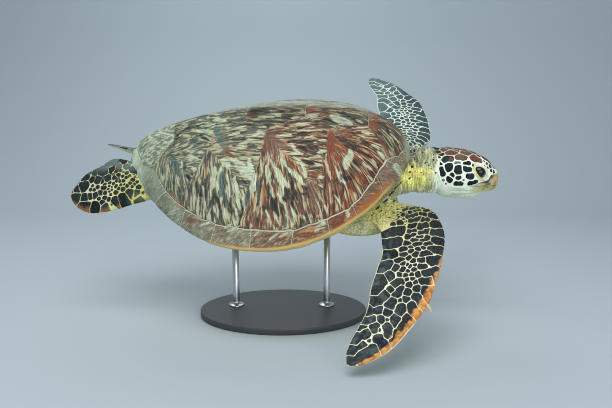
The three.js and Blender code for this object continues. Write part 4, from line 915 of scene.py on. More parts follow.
        c, g = mixc(c, uc, under), mixc(g, ub, under)
        w = smooth(a0 - 25, a0 + 15, a) * (smooth(0, 6, off) if hind else 1)
        if not hind:
            w = w * np.maximum(smooth(-38, -6, b - tb[i] + 6 * mid[i]), smooth(70, 110, a))
            w = w * smooth(182, 225, q[i, 0] + 0.5 * (a > 60) * (a - 60)) * smooth(58, 80, np.abs(q[i, 1])) * np.maximum(smooth(30, 12, b - lb[i]), smooth(60, 100, a))
        base[i] = mixc(base[i], g, w)
        put = e > edge[i]
        scale[i] = np.where(put[:, None], c, scale[i])
        edge[i] = np.where(put, e, edge[i])
        grain[i] = grain[i] * (1 - 0.75 * smooth(a0 + 35, a0 + 95, a))
    # neck top: many small dark spots
    i = np.where((nk > 0.3) & (hz > 8) & (q[:, 0] > 368) & (d < 330) & (np.abs(hy) < 110))[0]
    es = np.full(len(i), -6.0)
    for pitch, big_, seed in ((11.5, 3.1, 31), (19.0, 4.6, 35)):
        p = V[i] / pitch + 0.25 * vnoise(V[i] / 14, seed)[:, None]
        c0 = np.floor(p)
        for o in np.ndindex(3, 3, 3):
            cc = c0 + np.array(o) - 1
            hv = (cc * [1.0, 57.0, 113.0]).sum(1) + 4000
            j = np.stack([hash01(hv, seed), hash01(hv, seed + 1), hash01(hv, seed + 2)], -1)
            rad = big_ * (hash01(hv, seed + 3) * 1.1 + 0.1)
            es = np.maximum(es, np.where(rad > 1.0, rad - np.linalg.norm((p - cc - j) * pitch, axis=1), -6))
    es = es + 0.9 * fine[i] - 3.0 * smooth(44, 18, hz[i] + 6 * mid[i])
    use = (es > edge[i])
    edge[i] = np.where(use, es, edge[i])
    scale[i] = np.where(use[:, None], lin(52, 58, 60), scale[i])
    # a row of long dark spots follows the shell's edge over the shoulder
    for sg in (-1, 1):
        i = np.where((q[:, 0] > 290) & (q[:, 0] < 475) & (sg * q[:, 1] > 5) & (sg * q[:, 1] < 250) & (q[:, 2] > -60) & (q[:, 2] < 120))[0]
        es = np.full(len(i), -6.0)
        look = unit([0.13, 0.86 * -sg, -0.49])
        for x0, y0, z0, ln, wd in SHOULDER_SPOTS:
            w = q[i] - np.array([x0, sg * y0, z0])
            far_ = np.abs(w @ look) > 60
            w = w - np.outer(w @ look, look)
            t = np.array([26, -32.0 * sg, 3])
            t = unit(t - (t @ look) * look)
            al = w @ t
            ac = np.linalg.norm(w - np.outer(al, t), axis=1)
            es = np.maximum(es, np.where(far_, -6, wd - np.hypot(al * wd / ln, ac) + 0.8 * fine[i]))
        use = es > edge[i]
        edge[i] = np.where(use, es, edge[i])
        scale[i] = np.where(use[:, None], lin(50, 48, 44), scale[i])
    # head
    i = np.where((d < 250) & (np.abs(hy) < 95) & (np.abs(hz) < 115))[0]
    H = np.stack([d[i], hy[i], hz[i]], -1)
    S, R, K, ids = [], [], [], []
    for (sd, sy, sz, r, k, g) in HEAD_SCALES:
        for sg in ((-1, 1) if sy > 0 else (1,)):
            S.append((sd, sg * sy, sz)), R.append(r), K.append(k), ids.append(g + (100 if sg > 0 and sy > 0 else 0))
    S, R, K, ids = np.array(S, float), np.array(R, float), np.array(K), np.array(ids)
    wob = np.stack([vnoise(V[i] / 9, 41), vnoise(V[i] / 9, 42), vnoise(V[i] / 9, 43)], -1) * 1.0
    own, e, near = cells(H + wob, S, R * 1.1, ids, 1.3)
    # nearest seed of the owning scale, for the rounding
    clip = R[own] * 1.22 - near
    # bridge of two seeds that make one scale
    for g in np.unique(ids):
        m = np.where(ids == g)[0]
        if len(m) == 2:
            k = np.where((own == m[0]) | (own == m[1]))[0]
            a0, a1 = S[m[0]], S[m[1]]
            ab = a1 - a0
            t = clamp(((H[k] - a0) @ ab) / (ab @ ab), 0, 1)
            dd = np.linalg.norm(H[k] - a0 - t[:, None] * ab, axis=1)
            clip[k] = lerp(R[m[0]], R[m[1]], t) * 1.18 - dd
    top = smooth(58, 74, hz[i])
    e = np.minimum(e - lerp(1.75, 1.2, top), np.where(top > 0.5, clip + 5, clip + 1.2))
    lump = {"k": DARK, "r": RED, "d": DUSK, "g": GREY, "n": lin(58, 50, 48)}
    c = np.array([lump.get(k, DARK) for k in K])[own]
    m3 = (K[own] == "m")
    c[m3] = mixc(lin(30, 40, 44), lin(84, 88, 84), clamp(0.9 * vnoise(V[i][m3] / 7, 49), 0, 1) * 0.7)
    c[m3] = mixc(c[m3], lin(138, 84, 72), smooth(1.2, 0.1, np.hypot((H[m3, 0] - 163) / 8, (H[m3, 2] - 64) / 8) + 0.8 * fine[i][m3] + 0.5 * mid[i][m3]) * 0.5)
    redk = (K[own] == "r")
    tone = vnoise(V[i] / [22, 14, 14], 47)
    grit = vnoise(V[i] / [5, 4, 4], 48)
    c[redk] = mixc(mixc(RED, lin(104, 86, 74), clamp(0.35 + 1.1 * tone[redk], 0, 1)), lin(66, 44, 42), clamp(0.15 + 0.9 * grit[redk], 0, 1) * 0.7)
    c[redk] = mixc(c[redk], lin(44, 32, 34), smooth(2.6, 0.4, e[redk]) * 0.55)
    dk = (K[own] == "d")
    c[dk] = mixc(mixc(DUSK, lin(100, 92, 78), clamp(0.3 + 1.1 * tone[dk], 0, 1)), RED, clamp(0.2 + 0.9 * mid[i][dk], 0, 1) * 0.5)
    c[dk] = mixc(c[dk], lin(44, 34, 36), clamp(grit[dk], 0, 1) * 0.7)
    kk = (K[own] == "k")
    c[kk] = mixc(DARK, lin(60, 66, 68), clamp(0.2 + 0.8 * mid[i][kk], 0, 1) * 0.5)
    g = np.tile(lin(238, 248, 230), (len(i), 1))
    hz_, d_ = hz[i], d[i]
    g = mixc(g, lin(204, 200, 162), smooth(60, 78, hz_))
    # throat and cheek streaks
    st = vnoise(np.stack([d_ / 46, hy[i] / 9, hz_ / 3.6], -1), 51)
    g = mixc(g, lin(160, 176, 142), smooth(-14, -24, hz_) * clamp(1.4 * st, 0, 1) * 0.6 * smooth(190, 150, d_))
    g = mixc(g, lin(206, 204, 156), smooth(112, 84, d_) * smooth(-12, -26, hz_) * smooth(-56, -40, hz_) * 0.8)
    g = mixc(g, lin(222, 220, 182), smooth(-44, -60, hz_) * 0.5)
    # beak
    bz, mz = hz_ - beak_z(d_), hz_ - mouth_z(d_)
    inb = smooth(0.8, -0.4, bz) * smooth(108, 96, d_)
    bn = vnoise(np.stack([d_ / 9, hy[i] / 8, hz_ / 12], -1), 52)
    tan = mixc(lin(190, 186, 132), lin(138, 130, 86), clamp(bn + 0.3, 0, 1) * 0.8)
    g = mixc(g, tan, inb * smooth(100, 66, d_) * smooth(-46, -34, hz_) * 0.9)
    deepb = lerp(2.6, 10.5, smooth(72, 44, d_))
    streak = smooth(-0.4, -1.6, bz) * smooth(-deepb - 1.5, -deepb + 1.5, bz + 1.2 * mid[i]) * smooth(19, 27, d_) * smooth(98, 86, d_)
    g = mixc(g, mixc(lin(46, 48, 58), lin(90, 88, 98), smooth(-4, -9, bz + 2 * bn)), streak * 0.9)
    g = mixc(g, lin(100, 92, 96), smooth(58, 48, d_) * smooth(26, 34, d_) * smooth(-9, -14, hz_) * smooth(-23, -17, hz_) * clamp(0.55 + bn, 0, 1) * 0.8)
    g = mixc(g, lin(118, 84, 62), smooth(48, 42, d_) * smooth(34, 40, d_) * smooth(-24, -26, hz_) * smooth(-33, -28, hz_) * 0.6)
    front = smooth(36, 12, d_ + 9 * bn) * smooth(12, 7, hz_) * smooth(-40, -30, hz_)
    g = mixc(g, mixc(lin(204, 162, 96), lin(146, 132, 84), clamp(0.45 + 1.2 * bn, 0, 1)), front * 0.75)
    g = mixc(g, lin(122, 112, 88), smooth(62, 26, d_) * smooth(20, 34, hz_ + 5 * bn) * 0.5)
    # the mouth line is painted dark along its groove: painted shade in the slit
    g = mixc(g, lin(70, 66, 62), np.exp(-((mz + 0.4) / 0.9) ** 2) * smooth(110, 98, d_) * 0.75)
    g = mixc(g, lin(244, 246, 228), np.exp(-((bz - 1.6) / 1.8) ** 2) * smooth(104, 92, d_) * 0.95)
    g = mixc(g, lin(66, 66, 50), np.exp(-((bz - 6.2) / 1.5) ** 2) * smooth(44, 56, d_) * smooth(36, 44, d_) * smooth(84, 66, d_) * 0.5)
    # beak and chin carry no scales
    e = np.where((bz < 1.0) & (d_ < 104) | (hz_ < -17), -3.0, e)
    # lids
    r = rho[i]
    lid = smooth(1.55, 1.2, r)
    rear = smooth(-6, 6, (d_ - EYE["d"]) * 0.9 - (hz_ - EYE["z"]) * 0.55)
    g = mixc(g, mixc(lin(226, 228, 200), lin(206, 202, 108), rear), smooth(1.75, 1.35, r) * 0.9)
    g = mixc(g, lin(196, 166, 96), smooth(1.5, 1.15, r) * smooth(4, 12, hz_ - EYE["z"]) * smooth(12, -2, d_ - EYE["d"]) * 0.6)
    # a dark line along the lid's fold and a dark ring where the lids meet the eyeball: painted shade in these creases
    g = mixc(g, lin(96, 92, 74), np.exp(-((r - 1.68) / 0.07) ** 2) * (0.25 + 0.4 * rear))
    g = mixc(g, lin(40, 38, 38), smooth(1.10, 1.03, r) * 0.9)
    e = np.where(r < lerp(1.85, 1.6, rear), -3.0, e)
    e = e - smooth(0, 1, (d_ - 208) / 12) * 4
    w = smooth(236, 196, d_ + 9 * mid[i] + 0.25 * (hz_ - 10) * (hz_ > 10))
    base[i] = mixc(base[i], g, w)
    put = (e > edge[i]) | (d_ < 200)
    edge[i] = np.where(put, e, edge[i])
    scale[i] = np.where(put[:, None], c, scale[i])
    grain[i] = np.minimum(grain[i], lerp(1, 0.15, w))
    # tail: small dusky scales
    tl = smooth(-395, -420, q[:, 0]) * (np.abs(q[:, 1]) < 60)
    et = (vnoise(V / 6, 61) - 0.1) * 3
    use = (tl > 0.5) & (et > edge)
    edge, scale = np.where(use, et, edge), np.where(use[:, None], lin(80, 78, 66), scale)
    base = base * (1 + 0.05 * fine + 0.05 * mid)[:, None]
    return np.clip(base, 0, 1), np.clip(scale, 0, 1), edge, grain, nk * smooth(366, 380, q[:, 0]) * smooth(345, 305, d) * smooth(128, 104, np.abs(hy))


# ------------------------------------------------------------------ shell
CROSS = [(320, 42), (134, 40), (-43, 33), (-268, 54)]
ZIGZAG = [(432, 30), (411, 69), (371, 111), (320, 42), (206, 78), (134, 40), (31, 76), (-43, 33), (-150, 104),
          (-268, 54), (-339, 92), (-392, 46), (-412, 0)]
COSTAL_SEAMS = [[(206, 78), (202, 116), (197, 156), (191, 195), (188, 238), (186, 300)],
                [(31, 76), (24, 98), (15, 141), (2, 187), (-22, 240), (-42, 279), (-51, 312)],
                [(-150, 104), (-173, 144), (-206, 184), (-229, 207), (-244, 222)]]
MARGIN_SEAMS = [(0.905, 0.93), (0.755, 0.805), (0.605, 0.635), (0.445, 0.46), (0.235, 0.22), (-0.025, -0.04), (-0.26, -0.30),
                (-0.475, -0.535), (-0.64, -0.755), (-0.755, -0.88), (-0.86, -0.965)]
margin_in = table([-0.78, -0.64, -0.475, -0.26, -0.025, 0.235, 0.445, 0.548, 0.605, 0.65, 0.706, 0.755, 0.78, 0.84],
                  [0.58, 0.80, 0.87, 0.90, 0.915, 0.937, 0.935, 0.932, 0.942, 0.924, 0.882, 0.84, 0.80, 0.70])


def seg_dist(x, y, a, b):
    ax, ay = a
    bx, by = b[0] - ax, b[1] - ay
    t = clamp(((x - ax) * bx + (y - ay) * by) / (bx * bx + by * by + 1e-9), 0, 1)
    return np.hypot(x - ax - t * bx, y - ay - t * by)


def inside(x, y, poly):
    r = np.zeros(x.shape, bool)
    for (x0, y0), (x1, y1) in zip(poly, poly[1:] + poly[:1]):
        if y0 == y1:
            continue
        hit = (y0 > y) != (y1 > y)
        r ^= hit & (x < (x1 - x0) * (y - y0) / (y1 - y0) + x0)
    return r


def margin_line():
    pts = [(371, 111)]
    for i in range(23):
        u = lerp(0.80, -0.735, i / 22)
        pts.append((u * L / 2, float(margin_in(u) * half_width(u))))
    pts.append((-339, 92))
    return pts


# colour of each plate: red, cream, dust
PLATE = {"V": [(0.50, 0.50, 0.12), (0.34, 0.47, 0.06), (0.30, 0.46, 0.05), (0.10, 0.53, 0.16), (0.03, 0.57, 0.44)],
         "C": [(0.84, 0.49, 0.00), (0.62, 0.51, 0.00), (0.22, 0.58, 0.08), (0.10, 0.51, 0.20)],
         "M": [(0.58, 0.44, 0.34), (0.70, 0.38, 0.30), (0.88, 0.34, 0.10), (0.92, 0.36, 0.04), (0.85, 0.50, 0.04), (0.60, 0.55, 0.12),
               (0.40, 0.54, 0.30), (0.34, 0.50, 0.30), (0.16, 0.48, 0.44), (0.08, 0.50, 0.66), (0.05, 0.60, 0.96), (0.05, 0.60, 0.96)]}
INK = {"r": lin(114, 62, 44), "m": lin(106, 78, 68), "o": lin(168, 126, 86), "c": lin(178, 188, 160), "k": lin(30, 36, 42),
       "d": lin(64, 36, 36), "b": lin(66, 90, 92), "g": lin(102, 94, 80), "p": lin(184, 196, 174)}
AREOLA = {"V": [(292, 0), (100, 0), (-84, 0), (-310, 0), (-450, 0)],
          "C": [(200, 104), (20, 104), (-156, 118), (-300, 96)]}
PATCH = {"V": [334, 150, -30, -250, -390], "C": [206, 26, -148, -285]}


def shell_fields(x, y, Y, slope, u, v):
    """Plate code, holding plate number and group, and distances to the seams, to the margin line and to the seams
    between marginals.
    """
    sx = x + 1.6 * vnoise(np.stack([x / 21, y / 21, 0 * x], -1), 71) + 0.6 * vnoise(np.stack([x / 7, y / 7, 0 * x], -1), 72)
    ay = np.abs(y) + 1.6 * vnoise(np.stack([x / 23, y / 23, 0 * x + 5], -1), 73)
    ml = margin_line()
    vert = [(432, 0)] + ZIGZAG
    ring = [(432, 0), (432, 30), (411, 69)] + ml + [(-392, 46), (-412, 0)]
    in_v = inside(sx, ay, vert)
    in_r = inside(sx, ay, ring)
    nuch = (sx >= 430) & (ay < 32 + (sx - 430) * 1.4)
    group = np.where(in_v, 0, np.where(in_r, 1, 2))
    vi = np.select([sx > 320, sx > 134, sx > -43, sx > -268], [0, 1, 2, 3], 4)
    ci = np.zeros(len(x), int)
    for s in COSTAL_SEAMS:
        pts = sorted([(p[1], p[0]) for p in s])
        xs = np.interp(ay, [p[0] for p in pts], [p[1] for p in pts])
        ci += sx < xs
    k = clamp((np.abs(v) - margin_in(u)) / np.maximum(0.02, 1 - margin_in(u)), 0, 1)
    mi = np.zeros(len(x), int)
    for a, b in MARGIN_SEAMS:
        mi += u < lerp(a, b, k)
    grow = np.sqrt(1 + slope ** 2)
    dm = np.full(len(x), 1e3)
    for a, b in zip(ml, ml[1:]):
        dm = np.minimum(dm, seg_dist(sx, ay, a, b))
    dm = np.where(x > 360, dm, dm * grow)
    dn = np.full(len(x), 1e3)
    for a, b in zip(ZIGZAG, ZIGZAG[1:]):
        dn = np.minimum(dn, seg_dist(sx, ay, a, b))
    for cx, hw in CROSS + [(431, 30)]:
        dn = np.minimum(dn, seg_dist(sx, ay, (cx, 0), (cx, hw)))
    for s in COSTAL_SEAMS:
        for a, b in zip(s, s[1:]):
            dn = np.minimum(dn, np.where(in_r | (dm < 4), seg_dist(sx, ay, a, b), 1e3))
    dn = np.minimum(dn, np.where(x > 425, seg_dist(sx, ay, (430, 31), (456, 68)), 1e3))
    dmm = np.full(len(x), 1e3)
    for a, b in MARGIN_SEAMS:
        p = (a * L / 2, float(margin_in(a) * half_width(a)) if a < 0.85 else 70.0)
        o = (b * L / 2, float(half_width(b)) + 6)
        if a < -0.8:
            p = (-386, 50)
        dmm = np.minimum(dmm, np.where(~in_r, seg_dist(sx, ay, p, o), 1e3))
    dmm = np.minimum(dmm, np.where(x < -410, ay, 1e3))
    dn = np.minimum(dn, dmm)
    code = np.select([group == 0, group == 1], [vi, 10 + ci], 20 + np.minimum(mi, 11))
    code = np.where(nuch & (group == 2), 40, code)
    return code, dn, dm, dmm


def plate_fields(code, x, y, Y):
    """Streak coordinates and colour weights of vertices that belong to the given plates."""
    n = len(x)
    group = np.where(code >= 20, 2, code // 10)
    prm, ax_, aY, px = np.zeros((n, 3)), np.zeros(n), np.zeros(n), np.zeros(n)
    for i in range(5):
        m = code == i
        prm[m], ax_[m], px[m] = PLATE["V"][i], AREOLA["V"][i][0], PATCH["V"][i]
    for i in range(4):
        m = code == 10 + i
        prm[m], px[m] = PLATE["C"][i], PATCH["C"][i]
        ax_[m], aY[m] = AREOLA["C"][i]
    for i in range(12):
        prm[code == 20 + i] = PLATE["M"][i]
    prm[code == 40] = (0.3, 0.55, 0.6)
    sid = code + np.where(y > 0, 50, 0) * (group > 0)
    warp = 6 * vnoise(np.stack([x / 45, Y / 45, sid], -1), 75)
    dx, dY = x - ax_ + warp * 0.6, np.where(group == 0, Y, np.abs(Y) - aY) + warp
    r = np.hypot(dx, dY)
    th = np.arctan2(dY, dx)
    # streaks run out from the areola: forward over the upper part, down over the lower part
    fan = (code == 0) | (code == 10)
    short = np.select([code == 4, code == 3, code == 13], [2.3, 1.4, 1.4], 1.0)
    st = np.stack([dY * 300 / (np.maximum(dx, -150) + 300) / np.where(group == 0, 6.2, 5.4), dx / 46 * short, sid * 3.7], -1)
    st[fan] = np.stack([th * np.where(group == 0, 17.0, 20.0), np.log(r + 30) * 3.0, sid * 3.7], -1)[fan]
    st2 = np.stack([dx * 240 / (np.abs(dY) + 240) / 5.2, np.abs(dY) / 44, sid * 3.7 + 9], -1)
    sector = smooth(0.70, 0.95, th + 0.12 * vnoise(np.stack([x / 14, Y / 14, sid], -1), 79)) * (group == 1) * ~fan
    # marginals: streaks slant back and out across the plate
    m = group == 2
    along = np.stack([(np.abs(Y) * 0.9 + x * 0.42) / 4.0, (x - np.abs(Y) * 0.42) / 22, sid * 3.7], -1)
    st[m] = along[m]
    # patches of solid brown lie in front of the rear seam of each plate
    ragged = 0.34 * vnoise(np.stack([x / 9, Y / 9, sid], -1), 76) + 0.2 * vnoise(np.stack([x / 30, Y / 30, sid], -1), 77)
    fx, fy = x - px, np.where(group == 0, np.abs(Y) * 1.1, np.abs(np.abs(Y) - aY - 26))
    aur = smooth(1.25, 0.45, np.maximum(fx, 0) / 60 + fy / 48 + ragged) * smooth(-16, -8, fx) * (group < 2)
    # the neck notch and the rear are dusty; the slope past the spine is painted paler, partly dust and partly painted
    # sheen where light grazes the far side of the dome
    wob = 26 * vnoise(np.stack([x / 44, Y / 18, 0 * x], -1), 78) + 12 * vnoise(np.stack([x / 15, Y / 9, 0 * x], -1), 80)
    prm[:, 2] = np.maximum(prm[:, 2], 0.74 * smooth(6, 46, Y + 0.6 * wob) * smooth(150, 62, Y + wob) * (group < 2) * smooth(-330, -120, x + wob) * smooth(420, 300, x + wob))
    prm[:, 2] = np.maximum(prm[:, 2], 0.70 * smooth(440, 470, x + 0.2 * np.abs(Y)) * (group == 2))
    return sid, st, st2, sector, np.clip(prm, 0, 1), aur


def ink_marks(x, Y):
    """Colour and cover of the long marks at each vertex."""
    n = len(x)
    col, cov = np.zeros((n, 3)), np.zeros(n)
    sg = np.sign(Y)
    p = np.stack([x / 13, Y / 13, sg * 3], -1)
    q = np.stack([x / 38, Y / 38, sg * 3], -1)
    mx = x + 1.2 * vnoise(p, 85) + 2.2 * vnoise(q, 86)
    my = np.abs(Y) + 1.2 * vnoise(p, 87) + 2.2 * vnoise(q, 88)
    order = np.argsort(mx)
    xs = mx[order]
    for kind, x0, y0, x1, y1, w in MARKS:
        w = max(w, 2.3)
        a, b = np.searchsorted(xs, [min(x0, x1) - 2 * w, max(x0, x1) + 2 * w])
        i = order[a:b]
        i = i[(my[i] > min(y0, y1) - 2 * w) & (my[i] < max(y0, y1) + 2 * w)]
        ux, uy = x1 - x0, y1 - y0
        t = clamp(((mx[i] - x0) * ux + (my[i] - y0) * uy) / (ux * ux + uy * uy + 1e-9), 0, 1)
        d = np.hypot(mx[i] - x0 - t * ux, my[i] - y0 - t * uy)
        a = smooth(1.45, 0.55, d / (w * (0.62 + 0.5 * np.sin(np.pi * t) ** 0.7)))
        col[i] = mixc(col[i], INK[kind], a)
        cov[i] = np.maximum(cov[i] * (1 - a), 0) + a
    return col / np.maximum(cov, 1e-3)[:, None], cov


def shell_grid(nu, nv):
    b = np.linspace(-1, 1, nu + 1)
    u = np.sign(b) * (1 - (1 - np.abs(b)) ** 1.3)
    a = np.linspace(-1, 1, nv + 1)
    v = np.sign(a) * (1 - (1 - np.abs(a)) ** 1.5)
    return np.meshgrid(u, v, indexing="ij")


def build_shell(nu=460, nv=380):
    U, Vv = shell_grid(nu, nv)
    W = half_width(U)
    x, y = U * L / 2, Vv * W
    top = rim_z(U) + dome_rise(U, Vv)
    dy, dz = np.diff(y, axis=1), np.diff(top, axis=1)
    arc = np.concatenate([np.zeros((nu + 1, 1)), np.cumsum(np.hypot(dy, dz), 1)], 1)
    Y = arc - arc[:, [nv // 2]]
    slope = np.abs(np.gradient(top, axis=1) / np.maximum(1e-3, np.gradient(y, axis=1)))
    slope = np.minimum(slope, 4)
    f = lambda q: q.ravel()
    code, dn, dm, dmm = shell_fields(f(x), f(y), f(Y), f(slope), f(U), f(Vv))
    group = np.where(code >= 20, 2, code // 10)
    sid = code + np.where(f(y) > 0, 50, 0) * (group > 0)
    ink, cover = ink_marks(f(x), f(Y))
    P = np.stack([f(x), f(y), f(top)], -1)
    # normals from the grid
    G = P.reshape(nu + 1, nv + 1, 3)
    N = np.cross(np.gradient(G, axis=0), np.gradient(G, axis=1)).reshape(-1, 3)
    N /= np.maximum(np.linalg.norm(N, axis=1), 1e-9)[:, None]
    N = np.where(N[:, 2:] < 0, -N, N)
    d = np.minimum(dn, dm)
    uu, vv = f(U), f(Vv)
    edge = np.minimum((1 - np.abs(vv)) * f(W), (1 - np.abs(uu)) * L / 2)
    soft = smooth(0, 7, edge)
    groove = -1.5 * np.exp(-(d / 1.7) ** 2) - 1.0 * np.exp(-(dm / 3.2) ** 2)
    swell = 2.2 * smooth(0, 26, d) - 1.2
    Ys = f(Y)
    rip = 0.35 * vnoise(np.stack([P[:, 0] / 7, Ys / 7, sid], -1), 81) + 0.7 * vnoise(np.stack([P[:, 0] / 24, Ys / 24, sid], -1), 82)
    flat_ = (group == 0) * smooth(-180, -260, P[:, 0])
    ridge = 2.4 * smooth(26, 4, np.abs(f(y))) * (group == 0) * np.maximum(smooth(0, 20, dn), flat_)
    h = (groove * (1 - 0.65 * flat_) + swell * (1 - 0.7 * flat_) + rip) * soft + ridge
    P = P + N * h[:, None]
    # gentle scallops at the rear rim
    sc = smooth(0.25, 0.9, -uu) * smooth(16, 0, edge) * (-2.6 * np.exp(-(dn / 7) ** 2) + 0.5)
    out = np.stack([0 * uu, np.sign(vv), 0 * uu], -1)
    P = P + out * sc[:, None]
    # underside of the rim
    edge_u = edge
    flat = rim_z(uu) - SHELL["rim"] * smooth(0, 12, edge_u)
    under = lerp(flat, np.maximum(f(top) - SHELL["wall"], flat), smooth(SHELL["lip_in"], SHELL["lip_out"], edge_u))
    under = np.minimum(under, f(top))
    Q = np.stack([P[:, 0], P[:, 1], under], -1)
    Q[edge_u < 0.05] = P[edge_u < 0.05]
    i, j = np.meshgrid(np.arange(nu), np.arange(nv), indexing="ij")
    a = (i * (nv + 1) + j).ravel()
    quads = np.stack([a, a + nv + 1, a + nv + 2, a + 1], -1)
    cq = code[quads]
    cq = cq[np.arange(len(cq)), (cq[:, :, None] == cq[:, None, :]).sum(2).argmax(1)]
    gq = np.where(cq >= 20, 2, cq // 10)
    mid_y = vv[quads].mean(1)
    flds = dict(code=code, ink=ink, cover=cover, dn=dn, dmm=dmm, seam=d, dm=dm, edge=edge, Y=Ys, x=f(x), y=f(y), uu=uu, vv=vv)

    def normals(A, sign):
        G = posed(A).reshape(nu + 1, nv + 1, 3)
        M = np.cross(np.gradient(G, axis=0), np.gradient(G, axis=1)).reshape(-1, 3) * sign
        up = posed(np.array([[0, 0, 1.0], [0, 0, 0]]))
        up = (up[0] - up[1]) * sign
        ln = np.linalg.norm(M, axis=1)
        M = np.where((ln > 1e-6)[:, None], M / np.maximum(ln, 1e-9)[:, None], up)
        return np.where(((M @ up) < -0.2)[:, None], up, M)

    NN = np.concatenate([normals(P, 1.0), normals(Q, -1.0)])
    out = {}
    names = [("carapace_vertebrals", (gq == 0)),
             ("carapace_costals_left", (gq == 1) & (mid_y > 0)), ("carapace_costals_right", (gq == 1) & (mid_y < 0)),
             ("carapace_marginals_left", (gq == 2) & (mid_y > 0)), ("carapace_marginals_right", (gq == 2) & (mid_y <= 0))]
    nuchal = cq == 40
    for name, pick in names:
        if name.endswith("vertebrals"):
            pick = pick | nuchal
        else:
            pick = pick & ~nuchal
        out[name] = (quads[pick], name)
    low = (edge_u[quads].mean(1) < 84)
    return P, Q, quads, out, low, mid_y, nuchal, flds, NN


def piece_mesh(name, Vs, faces, flds, normals):
    """One mesh of several plates; each plate has vertices of its own, so no streak crosses a seam."""
    c = flds["code"][faces]
    best = (c[:, :, None] == c[:, None, :]).sum(2).argmax(1)
    own = c[np.arange(len(c)), best]
    key = faces.astype(np.int64) * 64 + own[:, None]
    ids, inv = np.unique(key, return_inverse=True)
    fc = inv.reshape(faces.shape)
    v, code = ids // 64, ids % 64
    ob = make_object(name, posed(Vs[v]), fc)
    me = ob.data
    x, y, Y = flds["x"][v], flds["y"][v], flds["Y"][v]
    sid, st, st2, sector, prm, aur = plate_fields(code, x, y, Y)
    attr_v(me, "st", st)
    attr_v(me, "st2", st2)
    attr_f(me, "sector", sector)
    attr_c(me, "ink", np.clip(flds["ink"][v], 0, 1))
    attr_f(me, "cover", flds["cover"][v])
    attr_c(me, "prm", prm)
    attr_f(me, "aur", aur)
    for k in ("seam", "orange", "under", "line", "pale", "deep", "gold", "tone", "calm"):
        attr_f(me, k, flds[k][v])
    attr_v(me, "flat", np.stack([x, Y, sid], -1) / 100)
    me.normals_split_custom_set_from_vertices(normals[v].astype(np.float32))
    return ob


# ------------------------------------------------------------------ plastron
PLAS = dict(front=318, rear=-330, lobeF=150, lobeR=118, waist=(150, -170))
PLAS_SEAMS = [[(318, 0), (-330, 0)], [(262, 0), (250, 70), (262, 200)], [(168, 0), (160, 90), (150, 215)],
              [(52, 0), (40, 100), (44, 172)], [(-96, 0), (-104, 90), (-110, 168)], [(-214, 0), (-222, 70), (-212, 160)],
              [(-276, 0), (-270, 90)], [(150, 178), (60, 170), (-60, 166), (-168, 160)],
              [(96, 172), (100, 420)], [(10, 170), (12, 420)], [(-78, 167), (-80, 420)]]


def plastron_outline():
    s = []
    for i in range(17):
        t = i / 16
        s.append((PLAS["front"] - (PLAS["front"] - PLAS["waist"][0] - 20) * t, PLAS["lobeF"] * math.sin(math.pi / 2 * min(1, t * 1.15)) ** 0.75))
    s += [(150, 210), (140, 420), (-160, 420), (-170, 200)]
    for i in range(15):
        t = i / 14
        s.append((-192 - (-192 - PLAS["rear"]) * t, PLAS["lobeR"] * math.cos(math.pi / 2 * t) ** 0.7))
    return s


def belly_surface(x, y, grow):
    u = x / (L / 2)
    w = belly_half(u) + grow
    q = clamp(np.abs(y) / np.maximum(w, 1), 0, 1)
    s = np.sqrt(np.maximum(0, 1 - q ** (2 / 0.72)))
    return lerp(rim_z(u) - 2, belly_z(u) - grow, s ** 0.85), q


def build_plastron():
    xs = np.arange(-345, 334, 2.6)
    q = np.linspace(-1, 1, 281)
    q = np.sign(q) * (1 - (1 - np.abs(q)) ** 1.4)
    X, Qq = np.meshgrid(xs, q, indexing="ij")
    Yy = Qq * (belly_half(X / (L / 2)) + 2.0)
    side = [tuple(p) for p in plastron_outline()]
    poly = side + [(a, -b) for a, b in side[::-1]]
    x, y = X.ravel(), Yy.ravel()
    dist = np.full(len(x), 1e3)
    for a, b in zip(poly, poly[1:] + poly[:1]):
        dist = np.minimum(dist, seg_dist(x, y, a, b))
    ins = inside(x, y, poly)
    sd = np.where(ins, dist, -dist)
    grow = lerp(-4.5, 2.6, smooth(-3.5, 3.5, sd))
    z, qq = belly_surface(x, y, 2.6)
    z0, _ = belly_surface(x, y, 0)
    lift = np.stack([0 * x, 0 * x, -(grow - 2.6)], -1)
    ds = np.full(len(x), 1e3)
    wx = x + 3 * vnoise(np.stack([x / 30, y / 30, 0 * x], -1), 91)
    wy = np.abs(y) + 3 * vnoise(np.stack([x / 30, y / 30, 0 * x + 9], -1), 92)
    for s in PLAS_SEAMS:
        for a, b in zip(s, s[1:]):
            ds = np.minimum(ds, seg_dist(wx, wy if s[0] != (318, 0) else np.abs(y + 2 * vnoise(np.stack([x / 40, 0 * x, 0 * x], -1), 93)), a, b))
    P = np.stack([x, y, z], -1) + lift
    G = P.reshape(len(xs), len(q), 3)
    N = np.cross(np.gradient(G, axis=0), np.gradient(G, axis=1)).reshape(-1, 3)
    N /= np.maximum(np.linalg.norm(N, axis=1), 1e-9)[:, None]
    N = np.where(N[:, 2:] > 0, -N, N)
    h = -0.9 * np.exp(-(ds / 1.8) ** 2) + 0.9 * smooth(0, 22, ds) + 0.5 * vnoise(np.stack([x / 30, y / 30, 0 * x], -1), 94)
    P = P + N * (h * smooth(-2, 6, sd))[:, None]
    n1, n2 = len(xs), len(q)
    i, j = np.meshgrid(np.arange(n1 - 1), np.arange(n2 - 1), indexing="ij")
    a = (i * n2 + j).ravel()
    quads = np.stack([a, a + 1, a + n2 + 1, a + n2], -1)
    keep = sd[quads].max(1) > -6
    quads = quads[keep]
    ids, inv = np.unique(quads, return_inverse=True)
    ob = make_object("plastron_plates", posed(P[ids]), inv.reshape(quads.shape))
    attr_f(ob.data, "seam", ds[ids])
    attr_v(ob.data, "flat", np.stack([x[ids], y[ids], 0 * x[ids]], -1) / 100)
    attr_f(ob.data, "rimd", sd[ids])
    return ob


